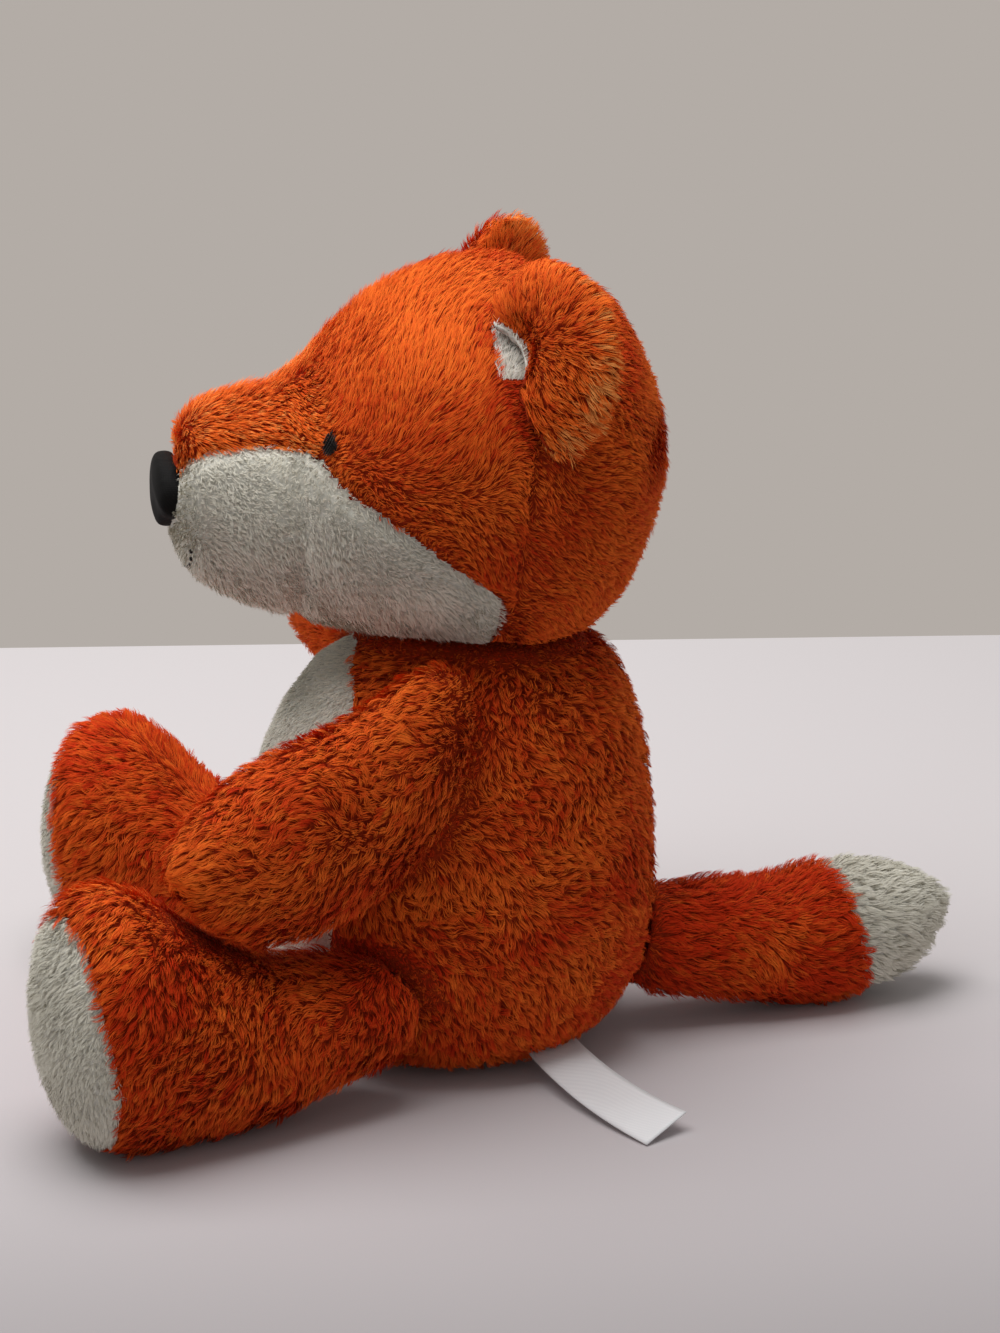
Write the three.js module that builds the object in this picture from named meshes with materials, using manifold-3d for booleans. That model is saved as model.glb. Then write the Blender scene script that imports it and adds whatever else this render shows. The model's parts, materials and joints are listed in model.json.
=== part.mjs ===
// A seated plush fox, in millimetres: +Z is up, the nose points to -Y and the fox's own left side is +X.
// The origin lies on the floor under the middle of the flat seat. Every limb is a stuffed form: fabric
// panels of one thickness, sewn edge to edge round a core of fibre filling. A limb is turned about the
// seam that holds it, so its root is cut back by the body at every angle that the seam allows.
import * as THREE from 'three';
import Module from 'manifold-3d';
import { mergeVertices } from 'three/addons/utils/BufferGeometryUtils.js';

const wasm = await Module();
wasm.setup();

// Gaps and fabric
const seamGap = 0.3;
const fabricThickness = 2.6;
const satinThickness = 0.7;
const restPress = 0.5;
const hingeGap = 1.5;

// Body
const bodyHeight = 128;
const bodyDepth = 113;
const bodyWidth = 108;
const bodyBack = 49;
const bellyWidth = 78;
const bellyTall = 104;
const bellyRise = 12;
const neckHeight = 110;
const neckBack = 3;
const neckGap = 0.6;
const neckOpeningRadius = 20;
const neckOpeningTall = 30;
const neckRingRadius = 23;
const neckThreadRadius = 1;

// Head
const headLength = 137;
const headHeight = 112;
const headWidth = 110;
const headBack = 51;
const headBase = 110;
const sideSeamBack = 1;
const sideSeamTiltAngle = 6.3;
const noseWidth = 31;
const noseHeight = 19;
const noseProud = 2.4;
const noseRise = 160;
const mouthWidth = 39;
const mouthHeight = 11.5;
const mouthRise = 138.5;
const mouthEndAngle = 8;
const threadWidth = 1.6;
const threadProud = 1.1;
const eyeLength = 5;
const eyeHeight = 8;
const eyeForward = 44;
const eyeRise = 179;

// Ears
const earHeight = 52;
const earReach = 44;
const earThickness = 19;
const earSide = 46;
const earBack = 11;
const earRise = 199.5;
const earSwingAngle = 44;
const earLeanAngle = 12;
const earDishHeight = 24;
const earDishReach = 18;
const earDishDepth = 16;
const earDishIn = 8;
const earDishUp = 3;

// Arms
const armLength = 90;
const armDepth = 72;
const armThickness = 36;
const shoulderSide = 46;
const shoulderForward = 10;
const shoulderRise = 112;
const armSplayAngle = 15;
const armRoot = 7;
const armHang = 61;
const armSwingAngle = 60;

// Legs
const legLength = 112.5;
const legHeight = 75;
const legThickness = 55;
const hipSide = 40;
const hipForward = 23;
const hipRise = 28;
const nearLegSplayAngle = 19;
const farLegSplayAngle = 29;
const legRoot = 6;
const legDropAngle = 35;
const soleLength = 12.5;
const soleLeanAngle = 7;

// Tail
const tailLength = 107.5;
const tailHeight = 42.5;
const tailThickness = 36;
const tailBack = 46;
const tailRise = 22;
const tailYawAngle = 12;
const tailRoot = 11;
const tailSwingAngle = 12;
const tailTipLength = 34.5;
const tailTipLeanAngle = -14;

// Satin label
const labelWidth = 15.5;
const labelRoot = [26, 15, 7];
const labelBend = [58, 22, 4.5];
const labelEnd = [81.3, 38.3, 3];
const labelTwistAngle = 18;
const labelStepCount = 8;

// Steps of a limb's turn past its neighbours, and of round shapes
const armSweepCount = 5;
const legSweepCount = 3;
const tailSweepCount = 2;
const edgeStepCount = 60;
const curveStepCount = 12;
const threadSideCount = 6;
const ringStepCount = 24;
const domeStepShare = 0.005;
const padStepCount = 18;

// Side outlines, as shares of each form's length and height, from the root pole over the top to the
// far pole and back along the underside. Fullness is a ring's half width over its half height, as a
// share of the form's width over its height.
const bodyOutlineShares = [
  [0, 0.52], [0.006, 0.69], [0.07, 0.88], [0.2, 0.97], [0.41, 1], [0.63, 0.98], [0.785, 0.94],
  [0.91, 0.86], [0.985, 0.71], [1, 0.54], [0.985, 0.37], [0.91, 0.22], [0.78, 0.09], [0.615, 0.01],
  [0.41, 0], [0.21, 0.035], [0.06, 0.14], [0.004, 0.32],
];
const bodyFullnessShares = [1.12, 1.12, 1.04, 1, 1, 0.98, 1.01, 1.046, 1.046, 1.046];
const bellyEdgeShares = [
  [0, 0], [0.3, 0.02], [0.62, 0.12], [0.85, 0.25], [0.98, 0.42], [1, 0.56], [0.95, 0.68], [0.85, 0.77],
  [0.7, 0.857], [0.6, 0.904], [0.44, 0.94], [0.15, 0.99], [0, 1],
];
const headOutlineShares = [
  [0, 0.5], [0.036, 0.714], [0.145, 0.929], [0.372, 1], [0.533, 0.946], [0.664, 0.83], [0.759, 0.714],
  [0.869, 0.688], [0.956, 0.634], [1, 0.45], [0.964, 0.268], [0.876, 0.179], [0.752, 0.125],
  [0.628, 0.089], [0.489, 0.045], [0.314, 0], [0.135, 0.11], [0.035, 0.33],
];
const headFullnessShares = [1.02, 1.02, 1.02, 1, 1.09, 1.17, 1.11, 0.98, 1.05, 1.05];
const armOutlineShares = [
  [0, 0.82], [0.078, 0.97], [0.178, 1], [0.311, 0.917], [0.467, 0.82], [0.656, 0.736], [0.833, 0.625],
  [0.956, 0.458], [1, 0.306], [0.944, 0.139], [0.811, 0.028], [0.611, 0], [0.378, 0.11], [0.178, 0.292],
  [0.067, 0.5], [0.033, 0.667],
];
const armFullnessShares = [1.1, 1.1, 1.1, 1.15, 1.25, 1.38, 1.55, 1.8, 1.8];
const legOutlineShares = [
  [0, 0.367], [0.036, 0.5], [0.124, 0.58], [0.267, 0.607], [0.427, 0.633], [0.569, 0.753], [0.711, 0.927],
  [0.827, 1], [0.924, 0.94], [0.978, 0.753], [1, 0.487], [0.973, 0.233], [0.916, 0.067], [0.827, 0.009],
  [0.711, 0], [0.569, 0.004], [0.427, 0.033], [0.267, 0.107], [0.124, 0.18], [0.036, 0.247],
];
const legFullnessShares = [1.55, 1.55, 1.5, 1.42, 1.3, 1.16, 1.04, 1.01, 1.03, 1.1, 1.1];
const tailOutlineShares = [
  [0, 0.6], [0.04, 0.86], [0.115, 0.985], [0.26, 0.985], [0.446, 0.95], [0.614, 1], [0.78, 0.975],
  [0.915, 0.85], [1, 0.6], [0.9, 0.235], [0.78, 0.07], [0.614, 0], [0.446, 0.05], [0.26, 0.15],
  [0.115, 0.22], [0.04, 0.34],
];
const tailFullnessShares = [1.1, 1.1, 1.12, 1.16, 1.16, 1.12, 1.1, 1.15, 1.15];
const shoulderAxisShares = [-0.05, -0.44, 0.9];
// The white muzzle and cheek, as shares of the head's length from its back and of its height.
const whiteEdgeShares = [
  [0.366, 0.2], [0.382, 0.255], [0.477, 0.34], [0.568, 0.43], [0.665, 0.51], [0.715, 0.575],
  [0.8, 0.585], [0.9, 0.565], [0.945, 0.535], [0.97, 0.5], [1.1, 0.46], [1.1, -0.2], [0.45, -0.2], [0.38, 0.1],
];
const muzzleSeamShare = 0.745;

const orangePlush = { color: 0xd9591d, roughness: 0.95, metalness: 0 };
const whitePlush = { color: 0xd9d8d2, roughness: 0.95, metalness: 0 };
const fibreFilling = { color: 0xf2f1ec, roughness: 1, metalness: 0 };
const blackFabric = { color: 0x17150f, roughness: 0.8, metalness: 0 };
const blackThread = { color: 0x121010, roughness: 0.6, metalness: 0 };
const whiteSatin = { color: 0xe9e9ea, roughness: 0.35, metalness: 0 };

const xAxis = new THREE.Vector3(1, 0, 0);
const yAxis = new THREE.Vector3(0, 1, 0);
const zAxis = new THREE.Vector3(0, 0, 1);
const forward = new THREE.Vector3(0, -1, 0);
const reach = 2 * (headLength + tailLength);

const fox = new THREE.Group();

function addPart(name, solid, finish) {
  const mesh = new THREE.Mesh(geometryOf(solid), new THREE.MeshStandardMaterial(finish));
  mesh.name = name;
  fox.add(mesh);
}

function geometryOf(solid) {
  const { numProp, vertProperties, triVerts } = solid.getMesh();
  const corners = new Float32Array(vertProperties.length / numProp * 3);
  for (let i = 0; i < corners.length / 3; i++) {
    corners.set(vertProperties.subarray(i * numProp, i * numProp + 3), i * 3);
  }
  const geometry = new THREE.BufferGeometry();
  geometry.setAttribute('position', new THREE.BufferAttribute(corners, 3));
  geometry.setIndex(new THREE.BufferAttribute(triVerts, 1));
  geometry.computeVertexNormals();
  return geometry;
}

function solidOf(geometry) {
  const bare = geometry.clone();
  bare.deleteAttribute('normal');
  bare.deleteAttribute('uv');
  const merged = mergeVertices(bare);
  return new wasm.Manifold(new wasm.Mesh({
    numProp: 3,
    vertProperties: new Float32Array(merged.attributes.position.array),
    triVerts: new Uint32Array(merged.index.array),
  }));
}

// A frame with its X axis along a direction, and its Z axis towards the top given.
function frameOf(origin, along, top) {
  const x = along.clone().normalize();
  const y = new THREE.Vector3().crossVectors(top, x).normalize();
  const z = new THREE.Vector3().crossVectors(x, y);
  return new THREE.Matrix4().makeBasis(x, y, z).setPosition(origin);
}

// A point of a closed outline, at a share of the way round, moved in by the inset.
function outlinePoint(outline, share, inset) {
  const t = (share + 1) % 1;
  const tangent = outline.getTangent(t);
  return outline.getPoint(t).add(new THREE.Vector3(tangent.z, 0, -tangent.x).multiplyScalar(inset));
}

function outlineOf(shares, length, height) {
  const points = shares.map(([along, up]) => new THREE.Vector3(along * length, 0, up * height));
  return new THREE.CatmullRomCurve3(points, true, 'catmullrom', 0.5);
}

// One ring of a stuffed form, at a share of the way from its root to its far end.
function ringOf(form, share, inset) {
  const outline = outlineOf(form.outlineShares, form.length, form.height);
  const last = form.fullnessShares.length - 1;
  const farShare = last / form.outlineShares.length;
  const top = outlinePoint(outline, share * farShare, inset);
  const under = outlinePoint(outline, -share * (1 - farShare), inset);
  const bareTop = outlinePoint(outline, share * farShare, 0);
  const bareUnder = outlinePoint(outline, -share * (1 - farShare), 0);
  const station = Math.min(Math.floor(share * last), last - 1);
  const fullness = THREE.MathUtils.lerp(
    form.fullnessShares[station], form.fullnessShares[station + 1], share * last - station);
  const bareRise = bareTop.distanceTo(bareUnder) / 2;
  const rise = top.clone().sub(under).multiplyScalar(0.5);
  const taper = Math.min(1, rise.length() / bareRise);
  return {
    middle: top.add(under).multiplyScalar(0.5),
    rise,
    side: bareRise * fullness * form.width / form.height - inset * taper,
  };
}

// A solid from rings of as many points each, closed at a point before the first and after the last. Its
// two halves are split into triangles as mirror images of each other.
function lofted(start, rings, end, frame) {
  const sides = rings[0].length;
  const corners = [start, ...rings.flat(), end];
  const far = corners.length - 1;
  const faces = [];
  for (let i = 0; i < sides; i++) {
    const next = (i + 1) % sides;
    faces.push(0, 1 + i, 1 + next);
    for (let low = 1; low + sides < far; low += sides) {
      const high = low + sides;
      const [lowCorner, highCorner] = i < sides / 2 ? [low + i, high + next] : [low + next, high + i];
      faces.push(low + i, highCorner, low + next, lowCorner, high + i, high + next);
    }
    faces.push(far - sides + next, far - sides + i, far);
  }
  const geometry = new THREE.BufferGeometry().setFromPoints(corners);
  geometry.setIndex(faces);
  return solidOf(geometry.applyMatrix4(frame));
}

// A stuffed form swells and tapers ring by ring between the two edges of its outline. The inset makes
// the same form smaller all round, or larger when it is below zero.
function stuffedForm(form, inset, sides, ringCount) {
  const rings = [];
  for (let ring = 1; ring < ringCount; ring++) {
    const eased = (1 - Math.cos(Math.PI * ring / ringCount)) / 2;
    const { middle, rise, side } = ringOf(form, (eased + ring / ringCount) / 2, inset);
    rings.push(Array.from({ length: sides }, (_, i) => {
      const angle = 2 * Math.PI * i / sides;
      const corner = middle.clone().addScaledVector(rise, Math.cos(angle));
      corner.y += Math.sin(angle) * side;
      return corner;
    }));
  }
  return lofted(ringOf(form, 0, inset).middle, rings, ringOf(form, 1, inset).middle, form.frame);
}

const outer = (form) => stuffedForm(form, 0, form.sides, form.rings);
const around = (form, gap) => stuffedForm(form, -gap, form.sides, form.rings);
const lining = (form) => stuffedForm(form, fabricThickness, form.innerSides, form.innerRings);
const core = (form) => stuffedForm(form, fabricThickness + seamGap, form.innerSides, form.innerRings);
const clearance = (form, extra = 0) => stuffedForm(form, -hingeGap - extra, form.clearSides, form.clearRings);

function moved(solid, matrix) {
  const geometry = geometryOf(solid).applyMatrix4(matrix);
  if (matrix.determinant() < 0) geometry.index.array.reverse();
  return solidOf(geometry);
}

const mirrored = (solid) => moved(solid, new THREE.Matrix4().makeScale(-1, 1, 1));

function turned(solid, pivot, axis, degrees) {
  const turn = new THREE.Matrix4().makeRotationAxis(axis, THREE.MathUtils.degToRad(degrees));
  const there = new THREE.Matrix4().makeTranslation(pivot);
  const back = new THREE.Matrix4().makeTranslation(pivot.clone().negate());
  return moved(solid, there.multiply(turn).multiply(back));
}

// The space that a neighbour takes up, seen from a piece that turns between two angles beside it.
function swept(neighbour, hinge, steps) {
  let space = turned(neighbour, hinge.pivot, hinge.axis, -hinge.from);
  for (let i = 1; i <= steps; i++) {
    const angle = THREE.MathUtils.lerp(hinge.from, hinge.to, i / steps);
    space = space.add(turned(neighbour, hinge.pivot, hinge.axis, -angle));
  }
  return space;
}

// All that lies beyond a plane, on the side that its normal points to.
function beyond(origin, normal, gap = 0) {
  const top = Math.abs(normal.z) > Math.SQRT1_2 ? xAxis : zAxis;
  const frame = frameOf(origin, normal, top);
  const shape = new THREE.BoxGeometry(reach, reach, reach).translate(reach / 2 + gap, 0, 0);
  return solidOf(shape.applyMatrix4(frame));
}

function prism(shape, frame, depth) {
  const geometry = new THREE.ExtrudeGeometry(shape, { depth, bevelEnabled: false, curveSegments: curveStepCount });
  return solidOf(geometry.applyMatrix4(frame));
}

// A smooth flat shape through the points given, in order round it, moved out by the gap.
function grown(points, gap) {
  const corners = points.map(([x, y]) => new THREE.Vector3(x, 0, y));
  const edge = new THREE.CatmullRomCurve3(corners, true, 'catmullrom', 0.5);
  const turning = THREE.ShapeUtils.isClockWise(points.map(([x, y]) => new THREE.Vector2(x, y))) ? -gap : gap;
  return new THREE.Shape(Array.from({ length: edgeStepCount }, (_, i) => {
    const point = outlinePoint(edge, i / edgeStepCount, turning);
    return new THREE.Vector2(point.x, point.z);
  }));
}

function ellipseShape(width, height) {
  return new THREE.Shape().absellipse(0, 0, width / 2, height / 2, 0, 2 * Math.PI, false, 0);
}

function ellipsoid(width, depth, height, frame) {
  const ball = new THREE.SphereGeometry(1, padStepCount, padStepCount / 2 + 1).scale(width / 2, depth / 2, height / 2);
  return solidOf(ball.applyMatrix4(frame));
}

const floorSpace = beyond(new THREE.Vector3(), zAxis.clone().negate());

const bodyForm = {
  length: bodyHeight, height: bodyDepth, width: bodyWidth,
  outlineShares: bodyOutlineShares, fullnessShares: bodyFullnessShares,
  sides: 28, rings: 16, innerSides: 14, innerRings: 9, clearSides: 20, clearRings: 14,
  frame: frameOf(new THREE.Vector3(0, bodyBack - bodyDepth, -restPress), zAxis, yAxis),
};

const headForm = {
  length: headLength, height: headHeight, width: headWidth,
  outlineShares: headOutlineShares, fullnessShares: headFullnessShares,
  sides: 32, rings: 20, innerSides: 16, innerRings: 10,
  frame: frameOf(new THREE.Vector3(0, headBack, headBase), forward, zAxis),
};

const headSpace = around(headForm, seamGap);

// How high an upright form's closed top is where it is as deep as the ring is wide.
function domeRise(form, radius) {
  let share = 1;
  while (ringOf(form, share, 0).rise.length() < radius) share -= domeStepShare;
  return ringOf(form, share, 0).middle.x - restPress;
}

// The ring of thread that closes the neck, and the room it takes up with the opening inside it.
const neckRingRise = domeRise(bodyForm, neckRingRadius);
const neckRing = (radius) => solidOf(new THREE.TorusGeometry(
  neckRingRadius, radius, threadSideCount, ringStepCount).translate(0, -neckBack, neckRingRise));
const neckRingSpace = neckRing(neckThreadRadius + seamGap);
const neckSpace = neckRingSpace.add(prism(
  ellipseShape(2 * neckOpeningRadius, 2 * neckOpeningRadius),
  frameOf(new THREE.Vector3(0, -neckBack, neckHeight), yAxis, zAxis), neckOpeningTall));

function makeBody() {
  const right = bellyEdgeShares.map(([wide, up]) => [wide * bellyWidth / 2, up * bellyTall]);
  const left = right.slice(1, -1).reverse().map(([wide, up]) => [-wide, up]);
  const belly = (gap) => prism(grown([...right, ...left], gap),
    frameOf(new THREE.Vector3(0, -neckBack, bellyRise), xAxis, forward), reach);
  const fabric = outer(bodyForm).subtract(lining(bodyForm)).subtract(floorSpace).subtract(neckSpace);
  addPart('body_cover', fabric.subtract(belly(seamGap)), orangePlush);
  addPart('belly_panel', fabric.intersect(belly(0)), whitePlush);
  addPart('body_filling', core(bodyForm).subtract(neckRingSpace), fibreFilling);
  addPart('neck_seam', neckRing(neckThreadRadius), blackThread);
}

function makeHead() {
  const bodyAt = (extra) => around(bodyForm, neckGap + extra);
  const hollow = lining(headForm).subtract(bodyAt(fabricThickness));
  const fabric = outer(headForm).subtract(bodyAt(0)).subtract(hollow).subtract(neckSpace);
  const whiteEdge = whiteEdgeShares.map(([along, up]) => [along * headLength, up * headHeight]);
  const whiteFrame = frameOf(new THREE.Vector3(reach / 2, headBack, headBase), forward, xAxis.clone().negate());
  const white = (gap) => prism(grown(whiteEdge, gap), whiteFrame, reach);
  const noseFrame = frameOf(new THREE.Vector3(0, 0, noseRise), xAxis, forward);
  const nose = (gap) => prism(ellipseShape(noseWidth + 2 * gap, noseHeight + 2 * gap), noseFrame, reach);
  const seamOrigin = new THREE.Vector3(0, sideSeamBack, neckHeight);
  const seamTilt = THREE.MathUtils.degToRad(sideSeamTiltAngle);
  const seamNormal = new THREE.Vector3(0, Math.cos(seamTilt), -Math.sin(seamTilt));
  const muzzleOrigin = new THREE.Vector3(0, headBack - muzzleSeamShare * headLength, 0);
  const face = fabric.intersect(beyond(seamOrigin, seamNormal.clone().negate(), seamGap)).subtract(nose(seamGap));
  const whiteFabric = face.intersect(white(0));
  addPart('head_back', fabric.intersect(beyond(seamOrigin, seamNormal)), orangePlush);
  addPart('head_face', face.subtract(white(seamGap)), orangePlush);
  const half = whiteFabric.intersect(beyond(new THREE.Vector3(), xAxis, seamGap / 2));
  addPair('muzzle', half.intersect(beyond(muzzleOrigin, forward)), whitePlush);
  addPair('cheek', half.intersect(beyond(muzzleOrigin, yAxis, seamGap)), whitePlush);
  const filling = core(headForm).subtract(bodyAt(fabricThickness + seamGap)).subtract(neckRingSpace);
  addPart('head_filling', filling, fibreFilling);
  addPart('nose', around(headForm, noseProud).subtract(lining(headForm)).intersect(nose(0)), blackFabric);
}

// Adds the left piece, and the right one as its mirror image.
function addPair(name, solid, finish) {
  addPart(`${name}_left`, solid, finish);
  addPart(`${name}_right`, mirrored(solid), finish);
}

function makeFaceDetails() {
  const eyeFrame = frameOf(new THREE.Vector3(0, -eyeForward, eyeRise), forward, xAxis.clone().negate());
  const eye = around(headForm, threadProud).subtract(headSpace).intersect(beyond(new THREE.Vector3(), xAxis))
    .intersect(prism(ellipseShape(eyeLength, eyeHeight), eyeFrame.multiply(
      new THREE.Matrix4().makeTranslation(0, 0, -reach / 2)), reach));
  addPair('eye', eye, blackThread);
  const smile = new THREE.Shape();
  const half = mouthWidth / 2;
  const end = THREE.MathUtils.degToRad(mouthEndAngle);
  smile.absellipse(0, mouthHeight, half, mouthHeight, Math.PI + end, 2 * Math.PI - end, false, 0);
  smile.absellipse(
    0, mouthHeight, half - threadWidth, mouthHeight - threadWidth, 2 * Math.PI - end, Math.PI + end, true, 0);
  smile.closePath();
  const stem = new THREE.Shape();
  stem.moveTo(-threadWidth / 2, threadWidth / 2);
  stem.lineTo(threadWidth / 2, threadWidth / 2);
  stem.lineTo(threadWidth / 2, mouthHeight - threadWidth / 2);
  stem.lineTo(-threadWidth / 2, mouthHeight - threadWidth / 2);
  const mouthFrame = frameOf(new THREE.Vector3(0, 0, mouthRise), xAxis, forward);
  const thread = prism(smile, mouthFrame, reach).add(prism(stem, mouthFrame, reach));
  addPart('mouth_stitching', around(headForm, threadProud).subtract(headSpace).intersect(thread), blackThread);
}

function makeEars() {
  const swing = THREE.MathUtils.degToRad(earSwingAngle);
  const lean = THREE.MathUtils.degToRad(earLeanAngle);
  const out = new THREE.Vector3(Math.cos(swing), Math.sin(swing), 0);
  const up = new THREE.Vector3(-Math.sin(lean), 0, Math.cos(lean));
  const frame = frameOf(new THREE.Vector3(earSide, earBack, earRise), out, up);
  const dish = (inset, forwardShift) => ellipsoid(
    earDishReach - 2 * inset, earDishDepth - 2 * inset, earDishHeight - 2 * inset,
    frame.clone().multiply(
      new THREE.Matrix4().makeTranslation(-earDishIn, -earThickness / 2 - forwardShift, earDishUp)));
  const pad = ellipsoid(earReach, earThickness, earHeight, frame).subtract(headSpace);
  addPair('ear', pad.subtract(dish(0, 0)), orangePlush);
  addPair('ear_lining', pad.intersect(dish(seamGap, 0)).subtract(dish(0, fabricThickness)), whitePlush);
}

// A limb is cut back by the space beside it, and its fabric goes round over the cut. It splits at its seam
// into two panels round the filling. Where an end cap is sewn on, the panels stop at the cap's plane.
function limbOf(form, spaceAt, seam, cap) {
  const hollow = lining(form).subtract(spaceAt(fabricThickness));
  const fabric = outer(form).subtract(spaceAt(0)).subtract(floorSpace).subtract(hollow);
  const panels = cap ? fabric.intersect(beyond(cap.origin, cap.normal.clone().negate(), seamGap)) : fabric;
  return {
    one: panels.intersect(beyond(seam.origin, seam.normal, seamGap / 2)),
    other: panels.intersect(beyond(seam.origin, seam.normal.clone().negate(), seamGap / 2)),
    cap: cap ? fabric.intersect(beyond(cap.origin, cap.normal)) : null,
    filling: core(form).subtract(spaceAt(fabricThickness + seamGap)),
  };
}

// The way that a limb runs, level, turned out from straight ahead.
function wayOf(splay) {
  const angle = THREE.MathUtils.degToRad(splay);
  return new THREE.Vector3(Math.sin(angle), -Math.cos(angle), 0);
}

// The normal of an end cap's plane, along the limb and tipped down by the lean.
function capNormalOf(way, lean) {
  const angle = THREE.MathUtils.degToRad(lean);
  return way.clone().multiplyScalar(Math.cos(angle)).addScaledVector(zAxis, -Math.sin(angle));
}

const hip = new THREE.Vector3(hipSide, -hipForward, hipRise);

function legFormAt(splay) {
  const way = wayOf(splay);
  return {
    length: legLength, height: legHeight, width: legThickness,
    outlineShares: legOutlineShares, fullnessShares: legFullnessShares,
    sides: 20, rings: 14, innerSides: 12, innerRings: 8, clearSides: 16, clearRings: 12,
    frame: frameOf(hip.clone().addScaledVector(way, -legRoot).setZ(-restPress), way, zAxis),
  };
}

function legAt(splay) {
  const way = wayOf(splay);
  const drop = { pivot: hip, axis: xAxis, from: 0, to: legDropAngle };
  const seam = { origin: hip, normal: new THREE.Vector3().crossVectors(zAxis, way) };
  const soleMiddle = hip.clone().addScaledVector(way, legLength - legRoot - soleLength).setZ(legHeight / 2);
  const sole = { origin: soleMiddle, normal: capNormalOf(way, soleLeanAngle) };
  return limbOf(legFormAt(splay), (extra) => swept(clearance(bodyForm, extra), drop, legSweepCount), seam, sole);
}

function makeLegs() {
  const left = legAt(nearLegSplayAngle);
  const right = legAt(farLegSplayAngle);
  for (const [name, key, finish] of [['leg_outer', 'one', orangePlush], ['leg_inner', 'other', orangePlush],
    ['sole', 'cap', whitePlush], ['leg_filling', 'filling', fibreFilling]]) {
    addPart(`${name}_left`, left[key], finish);
    addPart(`${name}_right`, mirrored(right[key]), finish);
  }
}

const shoulder = new THREE.Vector3(shoulderSide, -shoulderForward, shoulderRise);
const shoulderAxis = new THREE.Vector3(...shoulderAxisShares).normalize();

// A left arm at its rest beside the belly, cut back by the body and by the leg that has the splay given.
function armBeside(legSplay) {
  const way = wayOf(armSplayAngle);
  const form = {
    length: armLength, height: armDepth, width: armThickness,
    outlineShares: armOutlineShares, fullnessShares: armFullnessShares,
    sides: 18, rings: 12, innerSides: 10, innerRings: 7,
    frame: frameOf(shoulder.clone().addScaledVector(way, -armRoot).addScaledVector(zAxis, -armHang), way, zAxis),
  };
  const swing = { pivot: shoulder, axis: shoulderAxis, from: 0, to: armSwingAngle };
  const neighbours = (extra) => clearance(bodyForm, extra).add(clearance(legFormAt(legSplay), extra));
  const seam = { origin: shoulder, normal: new THREE.Vector3().crossVectors(zAxis, way) };
  return limbOf(form, (extra) => swept(neighbours(extra), swing, armSweepCount), seam);
}

// The left arm lies at its rest. The right one is swung out and up.
function makeArms() {
  const left = armBeside(nearLegSplayAngle);
  const right = armBeside(farLegSplayAngle);
  for (const [name, key, finish] of [['arm_outer', 'one', orangePlush], ['arm_inner', 'other', orangePlush],
    ['arm_filling', 'filling', fibreFilling]]) {
    addPart(`${name}_left`, left[key], finish);
    addPart(`${name}_right`, mirrored(turned(right[key], shoulder, shoulderAxis, armSwingAngle)), finish);
  }
}

function makeTail() {
  const way = wayOf(180 + tailYawAngle);
  const root = new THREE.Vector3(0, tailBack, tailRise);
  const form = {
    length: tailLength, height: tailHeight, width: tailThickness,
    outlineShares: tailOutlineShares, fullnessShares: tailFullnessShares,
    sides: 18, rings: 12, innerSides: 10, innerRings: 8,
    frame: frameOf(root.clone().addScaledVector(way, -tailRoot).setZ(-restPress), way, zAxis),
  };
  const swing = { pivot: root, axis: zAxis, from: -tailSwingAngle, to: tailSwingAngle };
  const seam = { origin: root, normal: new THREE.Vector3().crossVectors(zAxis, way) };
  const tipOrigin = root.clone().addScaledVector(way, tailLength - tailRoot - tailTipLength);
  const tip = { origin: tipOrigin, normal: capNormalOf(way, tailTipLeanAngle) };
  const tail = limbOf(form, (extra) => swept(clearance(bodyForm, extra), swing, tailSweepCount), seam, tip);
  addPart('tail_panel_left', tail.other, orangePlush);
  addPart('tail_panel_right', tail.one, orangePlush);
  addPart('tail_tip', tail.cap, whitePlush);
  addPart('tail_filling', tail.filling, fibreFilling);
}

// The satin strip leaves the seam flat and twists until its far end stands on one corner.
function makeLabel() {
  const path = new THREE.QuadraticBezierCurve3(
    new THREE.Vector3(...labelRoot), new THREE.Vector3(...labelBend), new THREE.Vector3(...labelEnd));
  const rings = [];
  for (let i = 0; i <= labelStepCount; i++) {
    const share = i / labelStepCount;
    const middle = path.getPoint(share);
    const way = path.getTangent(share);
    const level = new THREE.Vector3().crossVectors(zAxis, way).normalize();
    const twist = THREE.MathUtils.degToRad(labelTwistAngle) * share;
    const across = level.multiplyScalar(Math.cos(twist)).addScaledVector(zAxis, Math.sin(twist));
    const through = new THREE.Vector3().crossVectors(way, across).multiplyScalar(satinThickness / 2);
    across.multiplyScalar(labelWidth / 2);
    rings.push([[1, 1], [1, -1], [-1, -1], [-1, 1]].map(([a, t]) => middle.clone()
      .addScaledVector(across, a).addScaledVector(through, t)));
  }
  const strip = lofted(path.getPoint(0), rings, path.getPoint(1), new THREE.Matrix4());
  addPart('satin_label', strip.subtract(around(bodyForm, seamGap)), whiteSatin);
}

makeBody();
makeHead();
makeFaceDetails();
makeEars();
makeLegs();
makeArms();
makeTail();
makeLabel();

export default fox;
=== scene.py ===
"""A seated plush fox in the frame of its CAD model: stuffed skins that carry their pile as real tufts.

Each stuffed form starts from its CAD fabric and filling, is drawn in along its sewn seams and is blown up
between them by cloth simulation. Sizes are in millimetres until they are multiplied by MM.
"""
import json
import math
from dataclasses import dataclass
from functools import cache

import bmesh
import bpy
import numpy as np
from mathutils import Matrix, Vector
from mathutils.bvhtree import BVHTree
from mathutils.kdtree import KDTree


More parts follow.
